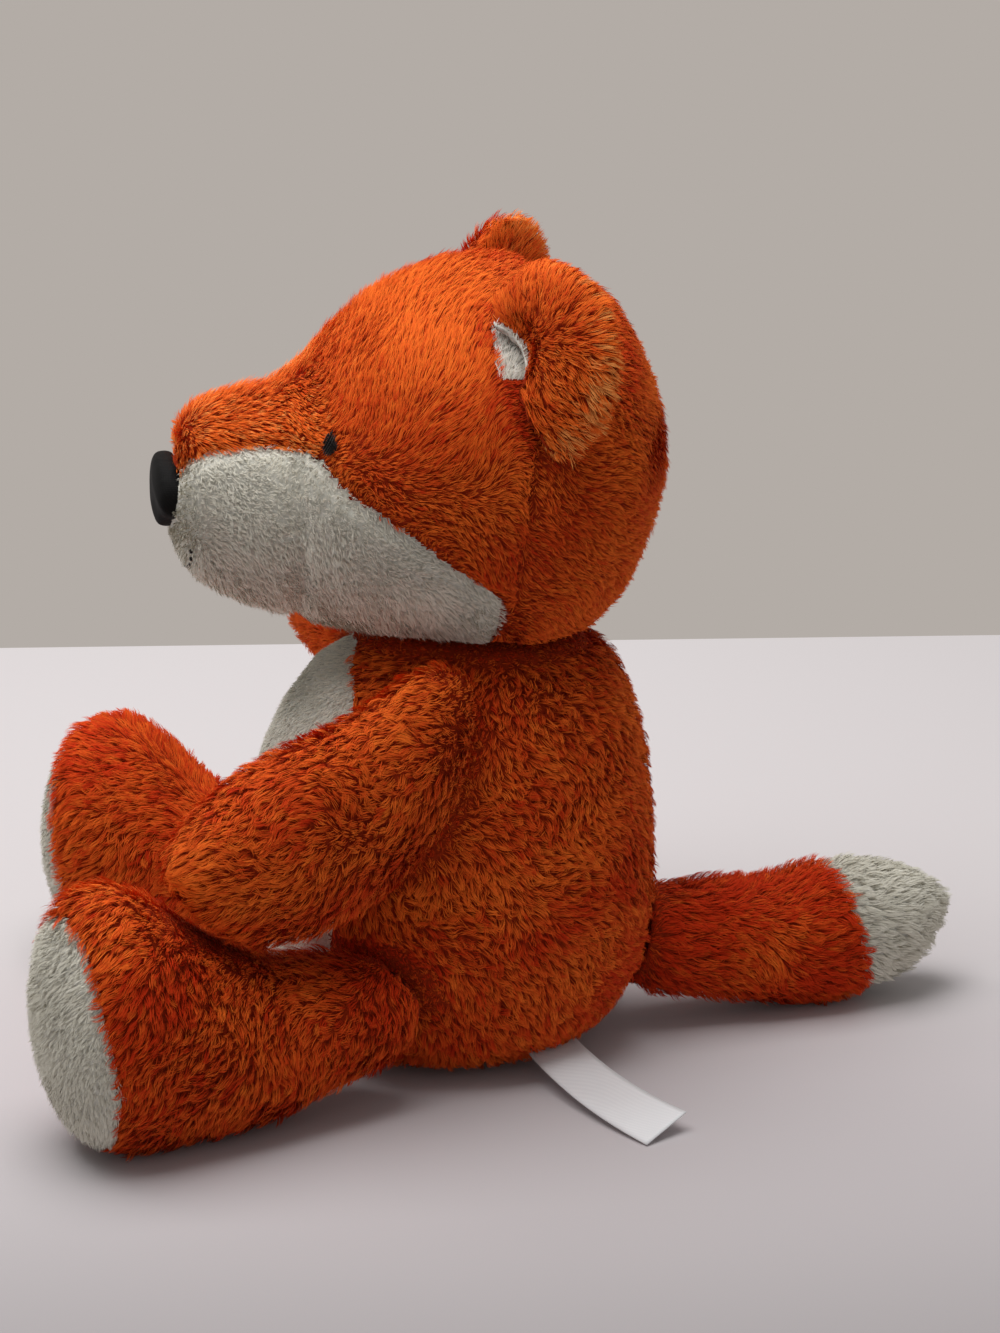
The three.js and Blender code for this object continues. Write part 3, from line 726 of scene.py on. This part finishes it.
def strand_paths(at, normal, comb, sleek, trim, pile):
    """Each strand's points from root to tip, its tuft's middle one and the points' shares of its length."""
    count = len(at)
    calm = 1 - SLEEK_CALM * sleek
    centre = tuft_of(at, 1 / (pile.density * pile.tuft ** 2))
    lean = unit(comb - normal * (comb * normal).sum(1, keepdims=True))
    side = np.cross(normal, lean)
    crushed = CRUSH_LEAST + CRUSH_GAIN * ramp(waves(at, *CRUSH_WAVES), *CRUSH_RAMP)
    turn = rng.normal(0, 1, count)[centre] * TURN_BY_TUFT + rng.normal(0, TURN_BY_STRAND, count)
    turn = (np.radians(pile.turn) * crushed * turn + SWIRL * waves(at, *SWIRL_WAVES)) * calm
    lean, side = (lean * np.cos(turn)[:, None] + side * np.sin(turn)[:, None],
                  side * np.cos(turn)[:, None] - lean * np.sin(turn)[:, None])
    length = pile.length * (1 + LENGTH_BY_TUFT * rng.normal(0, 1, count)[centre]
                            + LENGTH_BY_STRAND * rng.normal(0, 1, count))
    length = np.clip(length, SHORTEST * pile.length, LONGEST * pile.length)
    length = length * trim * (1 + SLEEK_LENGTH * sleek) * MM
    start = np.radians(pile.root_angle * (1 - SLEEK_LEAN * sleek)
                       + ROOT_ANGLE_SPREAD * rng.normal(0, 1, count)[centre])
    bend = np.radians(pile.tip_angle + TIP_ANGLE_SPREAD * rng.normal(0, 1, count)[centre]) - start
    bend = np.where(np.abs(bend) < LEAST_BEND, -LEAST_BEND, bend)
    phase = rng.uniform(0, 2 * math.pi, count)[centre]
    shares = np.linspace(0, 1, pile.segments + 1) ** STEP_POWER
    points = []
    for share in shares:
        out = (np.cos(start) - np.cos(start + bend * share)) / bend
        along = (np.sin(start + bend * share) - np.sin(start)) / bend
        sway = pile.curl * calm * MM * share * np.sin(phase + SWAY_TURN * share)
        points.append(at + normal * (out * length)[:, None] + lean * (along * length)[:, None]
                      + side * sway[:, None])
    points = np.stack(points, axis=1)
    gather = pile.gather * calm.reshape(-1, 1) * shares ** GATHER_POWER
    points += gather[..., None] * (points[centre] - points)
    points[..., 2] = np.maximum(points[..., 2], FLOOR_GAP * MM)
    return points, centre, shares


def ribbons(points, normal, shares, sleek, pile):
    """The strands as flat ribbons that narrow to a point: their corners and the normals that shade them."""
    count = len(points)
    tangent = unit(np.gradient(points, axis=1))
    across = unit(np.cross(tangent, normal[:, None, :]))
    up = np.cross(across, tangent)
    roll = (rng.normal(0, ROLL, count) * (1 - SLEEK_ROLL * sleek))[:, None, None]
    across = across * np.cos(roll) + up * np.sin(roll)
    width = pile.width * MM / 2 * (1 - TIP_NARROWING * shares ** 2)
    width = width * (WIDTH_LEAST + WIDTH_SPREAD * rng.random((count, 1)))
    across = across * width[..., None]
    pairs = np.stack([points - across, points + across], axis=2)[:, :-1]
    corners = np.concatenate([pairs.reshape(count, -1, 3), points[:, -1:]], axis=1)
    faced = np.cross(across[:, :-1], tangent[:, :-1])
    shade = unit(unit(faced) * (1 - SOFT_SHADE) + normal[:, None, :] * SOFT_SHADE)
    return corners, np.concatenate([np.repeat(shade, 2, axis=1), shade[:, -1:]], axis=1)


def ribbon_faces(segments):
    """One ribbon's triangles, as the indices of its corners."""
    faces = []
    for low in range(0, 2 * segments - 2, 2):
        faces += [(low, low + 1, low + 3), (low, low + 3, low + 2)]
    last = 2 * segments
    return np.array([*faces, (last - 2, last - 1, last)])


def colour_places(at, centre, shares, sleek, light, cover, pile):
    """The ribbons' corners on the colour map: each strand in its tint's column, from root to tip. The tint
    takes the comb's painted light and shade.
    """
    count = len(at)
    # Painted shade darkens the pile near forms that lie over it
    tint = (TINT_MIDDLE + light - COVER_PAINTED_SHADE * cover + TINT_BY_TUFT * rng.normal(0, 1, count)[centre]
            + TINT_BY_STRAND * rng.normal(0, 1, count))
    tint += TINT_BY_PLACE * waves(at, *TINT_WAVES)
    palest = np.clip(PALEST + PALEST_GAIN * np.broadcast_to(light, count), PALEST, PALEST_LIMIT)
    column = np.floor(np.clip(tint, 0, palest) * TINT_COLUMNS)
    edges = np.array([COLUMN_LOW, COLUMN_HIGH] * pile.segments + [COLUMN_MIDDLE])
    across = (column[:, None] + edges) / TINT_COLUMNS
    along = np.append(np.repeat(shares[:-1], 2), 1.0)
    # Sleek strands skip part of the painted root shade
    root_unshaded = SLEEK_ROOT_UNSHADED * sleek[:, None]
    return np.stack([across, np.clip(root_unshaded + (1 - root_unshaded) * along, ROOT_LIMIT, TIP_LIMIT)], axis=2)


def add_pile(name, form, roots, finish, comb_at):
    """Adds one panel's pile as flat strands, gathered into tufts."""
    pile, material, slot = finish
    at, normal, seam, off, cover, touch = roots
    comb, sleek, light = comb_at(at, normal)
    sleek = np.broadcast_to(sleek, len(at))
    comb = unit(comb) + off * (SEAM_SPLAY * seam * (1 - sleek))[:, None]
    trim = (1 - SEAM_TRIM * seam) * (1 - COVER_TRIM * cover) * (1 - TOUCH_TRIM * touch)
    points, centre, shares = strand_paths(at, normal, comb, sleek, trim, pile)
    corners, shade = ribbons(points, normal, shares, sleek, pile)
    uv = colour_places(at, centre, shares, sleek, light, cover, pile)
    place(strand_mesh(name, corners, uv, shade, ribbon_faces(pile.segments)), form.body, material)


def strand_mesh(name, corners, uv, shade, faces):
    """A mesh of many strands that share one pattern of triangles, shaded by the given normals."""
    count, each = corners.shape[:2]
    loops = (np.arange(count)[:, None, None] * each + faces[None]).ravel()
    mesh = bpy.data.meshes.new(name)
    mesh.vertices.add(count * each)
    mesh.vertices.foreach_set("co", corners.astype(np.float32).ravel())
    mesh.loops.add(len(loops))
    mesh.loops.foreach_set("vertex_index", loops.astype(np.int32))
    mesh.polygons.add(len(loops) // 3)
    mesh.polygons.foreach_set("loop_start", np.arange(0, len(loops), 3, dtype=np.int32))
    mesh.polygons.foreach_set("use_smooth", np.ones(len(loops) // 3, bool))
    layer = mesh.uv_layers.new(name="OFBake")
    layer.data.foreach_set("uv", uv.reshape(-1, 2)[loops].astype(np.float32).ravel())
    mesh.update(calc_edges=True)
    soft = mesh.attributes.new("custom_normal", "FLOAT_VECTOR", "POINT")
    soft.data.foreach_set("vector", shade.astype(np.float32).ravel())
    return link(bpy.data.objects.new(name, mesh))


def comb_head(at, normal):
    """Up and back over the forehead, down the sides of the snout, back along the crushed cheeks; painted
    light on the brow and snout top, a little painted shade elsewhere.
    """
    forward, rise = -at[:, 1] / MM, at[:, 2] / MM
    side = np.clip(at[:, 0] / (SNOUT_PARTING * MM), -1, 1)
    brow = ramp(rise - BROW_SLOPE * forward, *BROW_RISE)[:, None]
    snout = (ramp(forward, *SNOUT_FORWARD) * ramp(rise, *SNOUT_RISE))[:, None]
    rear = ramp(-forward, *REAR_BACK)[:, None]
    way = np.array(CHEEK_WAY) * (1 - brow) + np.array(BROW_WAY) * brow
    fall = SNOUT_UP - SNOUT_DOWN * np.abs(side)
    down = np.stack([SNOUT_OUT * side, np.full(len(at), SNOUT_BACK), fall], axis=1)
    way = way * (1 - snout) + down * snout
    way = way * (1 - rear) + np.array(REAR_WAY) * rear
    top, snout = (brow * (1 - rear) * (1 - snout))[:, 0], snout[:, 0]
    return way, BROW_SLEEK * top + SNOUT_SLEEK * snout, BROW_PAINTED_LIGHT * top + SNOUT_PAINTED_LIGHT * snout + HEAD_PAINTED_LIGHT


def comb_muzzle(at, normal):
    """Away from the nose."""
    off = at - middle_of("nose")
    return off, MUZZLE_SLEEK * ramp(np.linalg.norm(off, axis=1) / MM, *MUZZLE_RING), 0


def comb_body(at, normal):
    """Down, and swept back over the flanks; painted shade all over, darker toward the seat."""
    rise = at[:, 2] / MM
    flank = np.sin(np.clip(rise / FLANK_HEIGHT, 0, 1) * math.pi)
    way = np.stack([np.zeros(len(at)), FLANK_BACK * flank, FLANK_LIFT * flank - BODY_DOWN], axis=1)
    return way, BODY_SLEEK, BODY_PAINTED_LIGHT + SEAT_PAINTED_SHADE * (1 - ramp(rise, *SEAT_RISE))


def comb_limb(form, down, sleek, top_sleek, light):
    """Away from the joint along the limb, and down over its sides."""
    way = unit(middle_of(*form.panels) - joint_of(form)) + np.array([0, 0, -down])

    def comb(at, normal):
        top = ramp(normal[:, 2], *TOP_NORMAL)
        return np.broadcast_to(way, at.shape), sleek + (top_sleek - sleek) * top, light
    return comb


def comb_ear(form):
    """Out from the lining on every side, with painted light that pales the rim."""
    middle = middle_of(form.name.replace("ear", "ear_lining"))

    def comb(at, normal):
        off = at - middle
        return off, EAR_SLEEK, EAR_PAINTED_LIGHT + RIM_PAINTED_LIGHT * ramp(np.linalg.norm(off, axis=1) / MM, *RIM_RING)
    return comb


def comb_plain(way, sleek, light):
    """The same all over a panel."""
    def comb(at, normal):
        return np.broadcast_to(np.array(way), at.shape), sleek, light
    return comb


def middle_of(*names):
    """The middle of the box round the CAD nodes."""
    boxes = np.array([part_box(name) for name in names])
    return (boxes[:, 0].min(axis=0) + boxes[:, 1].max(axis=0)) / 2


def joint_of(form):
    return np.array(next(j for j in frame["joints"] if j["child"] == form.body)["pos_m"])


def comb_of(form, panel):
    if panel.startswith(("muzzle", "cheek")):
        return comb_muzzle
    for start, values in PLAIN_COMBS.items():
        if panel.startswith(start):
            return comb_plain(*values)
    if form.name == "head":
        return comb_head
    if form.name == "body":
        return comb_body
    if form.kind == "ear":
        return comb_ear(form)
    return comb_limb(form, *LIMB_COMBS[form.kind])


def eye_share(at):
    """Each point's place in the eye's leaning slit, in half widths and half heights."""
    tilt = math.radians(EYE_TILT)
    back, up = at[:, 1] / MM + EYE_FORWARD, at[:, 2] / MM - EYE_RISE
    wide, tall = EYE_SLIT
    return ((back * math.cos(tilt) - up * math.sin(tilt)) / wide,
            (up * math.cos(tilt) + back * math.sin(tilt)) / tall)


def within(at, name, room):
    """Which points lie within the room round the CAD node."""
    low, high = (np.array(v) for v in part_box(name))
    near = np.flatnonzero(np.all((at > low - room * MM) & (at < high + room * MM), axis=1))
    found = np.zeros(len(at), bool)
    found[near[distances(at[near], tree_of(name)) < room * MM]] = True
    return found


def crowding(at, others, close, clear):
    """How near each point is to the other forms: 1 when close, 0 when clear."""
    share = np.zeros(len(at))
    for other in others:
        for name in other.panels:
            near = np.flatnonzero(within(at, name, clear))
            room = distances(at[near], tree_of(name)) / MM
            share[near] = np.maximum(share[near], 1 - ramp(room, close, clear))
    return share


def covered(form, at):
    """How near each point is to a form that lies over this one."""
    over = [other for other in FORMS if LAYERS[other.kind] > LAYERS[form.kind]]
    return crowding(at, over, 0, COVER_REACH)


def touching(form, at):
    """How near each point is to a form that this one is sewn to or rests on; the ears stand free."""
    others = [other for other in FORMS if other is not form and "ear" not in (form.kind, other.kind)]
    return crowding(at, others, *TOUCH)


def ear_root(at):
    """Which points of the head the ears' white linings run on to."""
    beside = within(at, "ear_lining_left", EAR_ROOT_REACH) | within(at, "ear_lining_right", EAR_ROOT_REACH)
    return beside & (at[:, 2] > EAR_ROOT_RISE * MM) & (at[:, 1] > -EAR_ROOT_FRONT * MM)


def face_clear(at):
    """Which roots lie clear of the eyes' slits and of the mouth."""
    across, up = eye_share(at)
    return (across ** 2 + up ** 2 > 1) & ~within(at, "mouth_stitching", MOUTH_CLEAR)


def grow_pile(form, mesh, at, reach, off):
    """Grows every panel's pile, and on the head the pile of the ears' roots."""
    densest = max(finish[0].density for finish in form.panels.values() if finish)
    roots, normal, near, ways_off = scatter(mesh, at, reach, off, densest)
    panel = near.argmin(axis=1)
    values = (roots, normal, seam_share(form, near), ways_off, covered(form, roots), touching(form, roots))
    keep = np.ones(len(roots), bool)
    if form.name == "head":
        in_ear = ear_root(roots)
        keep = face_clear(roots) & ~in_ear
        chosen = (*(value[in_ear] for value in values[:-2]), 0, 0)
        comb = comb_plain(*PLAIN_COMBS["ear_lining"])
        add_pile("ear_root_pile", form, chosen, (SHORT, WHITE_PILE, "white_plush"), comb)
    for i, (name, finish) in enumerate(form.panels.items()):
        if finish is None:
            continue
        mine = (panel == i) & keep & (rng.random(len(roots)) < finish[0].density / densest)
        add_pile(f"{name}_pile", form, [value[mine] for value in values], finish, comb_of(form, name))


# Face, label and neck

def tube(name, runs, radius, sides=8):
    """Threads with rounded ends along the runs of three points or more, as one mesh."""
    bm = bmesh.new()
    for run in runs:
        if len(run) < 3:
            continue
        rings = []
        for i, point in enumerate(run):
            way = (run[min(i + 1, len(run) - 1)] - run[max(i - 1, 0)]).normalized()
            across = way.orthogonal().normalized()
            other = way.cross(across)
            share = i / (len(run) - 1)
            size = radius * MM * math.sqrt(max(END_LEAST, 1 - abs(2 * share - 1) ** END_POWER))
            rings.append([bm.verts.new(point + (across * math.cos(a) + other * math.sin(a)) * size)
                          for a in (2 * math.pi * k / sides for k in range(sides))])
        for low, high in zip(rings, rings[1:]):
            for k in range(sides):
                bm.faces.new((low[k], low[(k + 1) % sides], high[(k + 1) % sides], high[k]))
        bm.faces.new(rings[0][::-1])
        bm.faces.new(rings[-1])
    bmesh.ops.recalc_face_normals(bm, faces=bm.faces)
    return smoothed(built(name, bm))


def add_eye(name, side):
    """A leaning patch of satin stitches, crowned in the middle, whose edges sink into the pile."""
    tree = tree_of(name)
    tilt = math.radians(EYE_TILT)
    runs = []
    for i in range(EYE_THREADS):
        share = (i + 0.5) / EYE_THREADS * 2 - 1
        half = EYE_HEIGHT / 2 * math.sqrt(1 - share * share)
        run = []
        for step in range(EYE_STEPS):
            across, up = share * EYE_LENGTH / 2, half * (2 * step / (EYE_STEPS - 1) - 1)
            back = -EYE_FORWARD + across * math.cos(tilt) + up * math.sin(tilt)
            rise = EYE_RISE + up * math.cos(tilt) - across * math.sin(tilt)
            start = Vector((side * EYE_RAY_START, back * MM, rise * MM))
            hit = tree.ray_cast(start, Vector((-side, 0, 0)))[0]
            if hit:
                edge = min(1, math.hypot(2 * across / EYE_LENGTH, 2 * up / EYE_HEIGHT))
                run.append(hit - Vector((side * (EYE_CROWN + (EYE_EDGE - EYE_CROWN) * edge) * MM, 0, 0)))
        runs.append(run)
    threads = tube(f"{name}_stitches", runs, THREAD_RADIUS * EYE_THREAD_SHARE)
    eye = place(threads, "head", DARK_THREAD)
    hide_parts(name)


def add_mouth():
    """Running stitches along the smile, and two from its middle up toward the nose."""
    tree = tree_of("mouth_stitching")
    end = math.radians(MOUTH_END_ANGLE)
    first, last = math.pi + end, 2 * math.pi - end
    wide, tall = MOUTH_WIDTH / 2 - THREAD_RADIUS * MOUTH_INSET, MOUTH_HEIGHT - THREAD_RADIUS * MOUTH_INSET
    steps = range(STITCH_STEPS + 1)

    def on_face(x, z):
        hit = tree.ray_cast(Vector((x * MM, MOUTH_RAY_START, z * MM)), Vector((0, 1, 0)))[0]
        return hit + Vector((0, MOUTH_SUNK * MM, 0)) if hit else None

    lines = []
    for i in range(MOUTH_STITCHES):
        spots = [i + STITCH_SHARE * k / STITCH_STEPS + STITCH_LEAD for k in steps]
        angles = [first + (last - first) * spot / MOUTH_STITCHES for spot in spots]
        lines.append([(math.cos(a) * wide, MOUTH_RISE + MOUTH_HEIGHT + math.sin(a) * tall) for a in angles])
    for low in LIP_STITCHES:
        lines.append([(0, MOUTH_RISE + low + LIP_STITCH_LENGTH * k / STITCH_STEPS) for k in steps])
    runs = [[point for point in (on_face(x, z) for x, z in line) if point] for line in lines]
    mouth = place(tube("mouth_stitches", runs, THREAD_RADIUS), "head", DARK_THREAD)
    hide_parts("mouth_stitching")


def add_nose():
    """The padded nose of black fabric, gathered into a few soft folds."""
    obj = shell_of("nose_pad", ["nose"], NOSE_VOXEL, NOSE_ROUNDING)
    at, normal = corners_of(obj.data), normals_of(obj.data)
    depth = np.abs(waves(at, *FOLD_WAVES)) * NOSE_FOLD - NOSE_FILL
    set_corners(obj.data, at - normal * (depth * MM)[:, None])
    obj.modifiers.new("subdivision", "SUBSURF").levels = 1
    place(smoothed(settled(obj)), "head", NOSE_FABRIC)
    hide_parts("nose")


def label_rows(bm):
    """The satin strip's corners, row by row from the seam to its end."""
    root, bend, end = (Vector(point) * MM for point in (LABEL_ROOT, LABEL_BEND, LABEL_END))
    upright = Vector((0, 0, 1))
    rows = []
    for i in range(LABEL_STEPS_ALONG + 1):
        t = i / LABEL_STEPS_ALONG
        middle = root * (1 - t) ** 2 + bend * 2 * t * (1 - t) + end * t * t
        way = ((bend - root) * (1 - t) + (end - bend) * t).normalized()
        twist = math.radians(LABEL_TWIST) * t
        across = upright.cross(way).normalized() * math.cos(twist) + upright * math.sin(twist)
        through = way.cross(across)
        row = []
        for j in range(LABEL_STEPS_ACROSS + 1):
            off = (j / LABEL_STEPS_ACROSS - 0.5) * LABEL_WIDTH
            curl = LABEL_CURL * math.cos(math.pi * off / LABEL_WIDTH) * math.sin(LABEL_RIPPLES * math.pi * t)
            row.append(bm.verts.new(middle + across * (off * MM) + through * (curl * MM)))
        rows.append(row)
    return rows


def add_label():
    """The bare satin strip, which leaves the seam flat and twists on its way out."""
    bm = bmesh.new()
    rows = label_rows(bm)
    for low, high in zip(rows, rows[1:]):
        for j in range(LABEL_STEPS_ACROSS):
            bm.faces.new((low[j], low[j + 1], high[j + 1], high[j]))
    obj = built("label_strip", bm)
    solid = obj.modifiers.new("thickness", "SOLIDIFY")
    solid.thickness = LABEL_THICKNESS * MM
    solid.offset = 0
    place(smoothed(settled(obj)), "body", SATIN)
    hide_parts("satin_label")


def add_neck_thread():
    """The gathering thread that closes the neck, hidden under the head."""
    ring = []
    for i in range(NECK_STEPS + 1):
        turn = 2 * math.pi * i / NECK_STEPS
        across, back = math.cos(turn) * NECK_RING_RADIUS, math.sin(turn) * NECK_RING_RADIUS - NECK_BACK
        ring.append(Vector((across, back, NECK_RING_RISE)) * MM)
    thread = tube("neck_thread", [ring], THREAD_RADIUS * NECK_THREAD_SHARE)
    place(thread, "body", DARK_THREAD)
    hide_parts("neck_seam")


# Camera, floor and light

def camera_axes():
    azimuth, elevation = math.radians(AZIMUTH), math.radians(ELEVATION)
    level = math.cos(elevation)
    back = Vector((math.sin(azimuth) * level, -math.cos(azimuth) * level, math.sin(elevation)))
    right = Vector((math.cos(azimuth), math.sin(azimuth), 0))
    return back, right, back.cross(right)


def make_camera():
    """The camera that sees the seat's middle at its pixel, at the photograph's scale."""
    back, right, up = camera_axes()
    across = (SEAT_PIXEL[0] - IMAGE_WIDTH / 2) / FOCAL
    rise = (IMAGE_HEIGHT / 2 - SEAT_PIXEL[1]) / FOCAL
    camera = link(bpy.data.objects.new("camera", bpy.data.cameras.new("camera")))
    camera.location = (back - right * across - up * rise) * DISTANCE * MM
    camera.rotation_mode = "QUATERNION"
    camera.rotation_quaternion = back.to_track_quat("Z", "Y")
    camera.data.sensor_width = SENSOR_WIDTH
    camera.data.lens = FOCAL / IMAGE_HEIGHT * SENSOR_WIDTH
    camera.data.clip_start, camera.data.clip_end = CLIP_NEAR, CLIP_FAR
    bpy.context.scene.camera = camera
    return camera


def floor_point(camera, column, row):
    """The point of the floor that shows at a pixel."""
    back, right, up = camera_axes()
    ray = right * ((column - IMAGE_WIDTH / 2) / FOCAL) + up * ((IMAGE_HEIGHT / 2 - row) / FOCAL) - back
    return camera.location - ray * (camera.location.z / ray.z)


def staged(name, corners, colours):
    """A flat backdrop sheet, with painted light and shade ramped from its first edge to its far one."""
    mesh = bpy.data.meshes.new(name)
    mesh.from_pydata([tuple(c) for c in corners], [], [(0, 1, 2, 3)])
    mesh.uv_layers.new(name="shade").data.foreach_set("uv", [0, 0, 1, 0, 1, 1, 0, 1])
    sheet = link(bpy.data.objects.new(name, mesh))
    material, shader = bare_material(name, roughness=0.9)
    colour = coloured_ramp(material, uv_of(material, "shade")["Y"], colours)
    join(material, colour, shader.inputs["Base Color"])
    mesh.materials.append(material)


def make_floor(camera):
    """A pale floor that ends at its far edge, with painted light falling off from that edge and a painted
    shadow in a soft darker band across it.
    """
    left, right = (floor_point(camera, *at) for at in zip((0, IMAGE_WIDTH), FLOOR_EDGE_ROWS))
    edge = (right - left).normalized()
    near = Vector((-edge.y, edge.x, 0))
    if near.dot(camera.location) < 0:
        near.negate()
    middle, reach = (left + right) / 2, FLOOR_REACH * MM
    far_corners = [middle - edge * reach, middle + edge * reach]
    staged("floor", far_corners + [corner + near * reach for corner in far_corners[::-1]], FLOOR_PAINTED_LIGHT)


def make_room():
    """Even light from all round. The camera, gloss and glass see a plain wall instead."""
    world = bpy.data.worlds.new("studio")
    bpy.context.scene.world = world
    world.use_nodes = True
    nodes, links = world.node_tree.nodes, world.node_tree.links
    nodes.clear()
    path = nodes.new("ShaderNodeLightPath")
    seen, lit = nodes.new("ShaderNodeBackground"), nodes.new("ShaderNodeBackground")
    mix = nodes.new("ShaderNodeMixShader")
    seen.inputs["Color"].default_value = WALL
    lit.inputs["Color"].default_value = ROOM_COLOUR
    lit.inputs["Strength"].default_value = ROOM_LIGHT
    seen_by = path.outputs["Is Camera Ray"]
    for kind in ("Is Glossy Ray", "Is Transmission Ray"):
        either = nodes.new("ShaderNodeMath")
        either.operation = "MAXIMUM"
        links.new(seen_by, either.inputs[0])
        links.new(path.outputs[kind], either.inputs[1])
        seen_by = either.outputs["Value"]
    links.new(seen_by, mix.inputs["Fac"])
    links.new(lit.outputs["Background"], mix.inputs[1])
    links.new(seen.outputs["Background"], mix.inputs[2])
    links.new(mix.outputs["Shader"], nodes.new("ShaderNodeOutputWorld").inputs["Surface"])


def make_lamp():
    """A broad soft lamp overhead, turned to the toy's seat."""
    lamp = bpy.data.lights.new("overhead", "AREA")
    lamp.energy = LAMP_WATTS
    lamp.size = LAMP_SIZE * MM
    obj = link(bpy.data.objects.new("overhead", lamp))
    obj.location = Vector(LAMP_PLACE) * MM
    obj.rotation_mode = "QUATERNION"
    obj.rotation_quaternion = obj.location.to_track_quat("Z", "Y")


camera = make_camera()
make_floor(camera)
make_room()
make_lamp()

skins = [drawn_in(form) for form in FORMS]
blow_up(skins)
for form, (skin, _, _) in zip(FORMS, skins):
    grow_pile(form, skin.data, *finish_skin(form, skin))

add_nose()
add_eye("eye_left", 1)
add_eye("eye_right", -1)
add_mouth()
add_label()
add_neck_thread()

bpy.context.scene.view_settings.view_transform = "Standard"
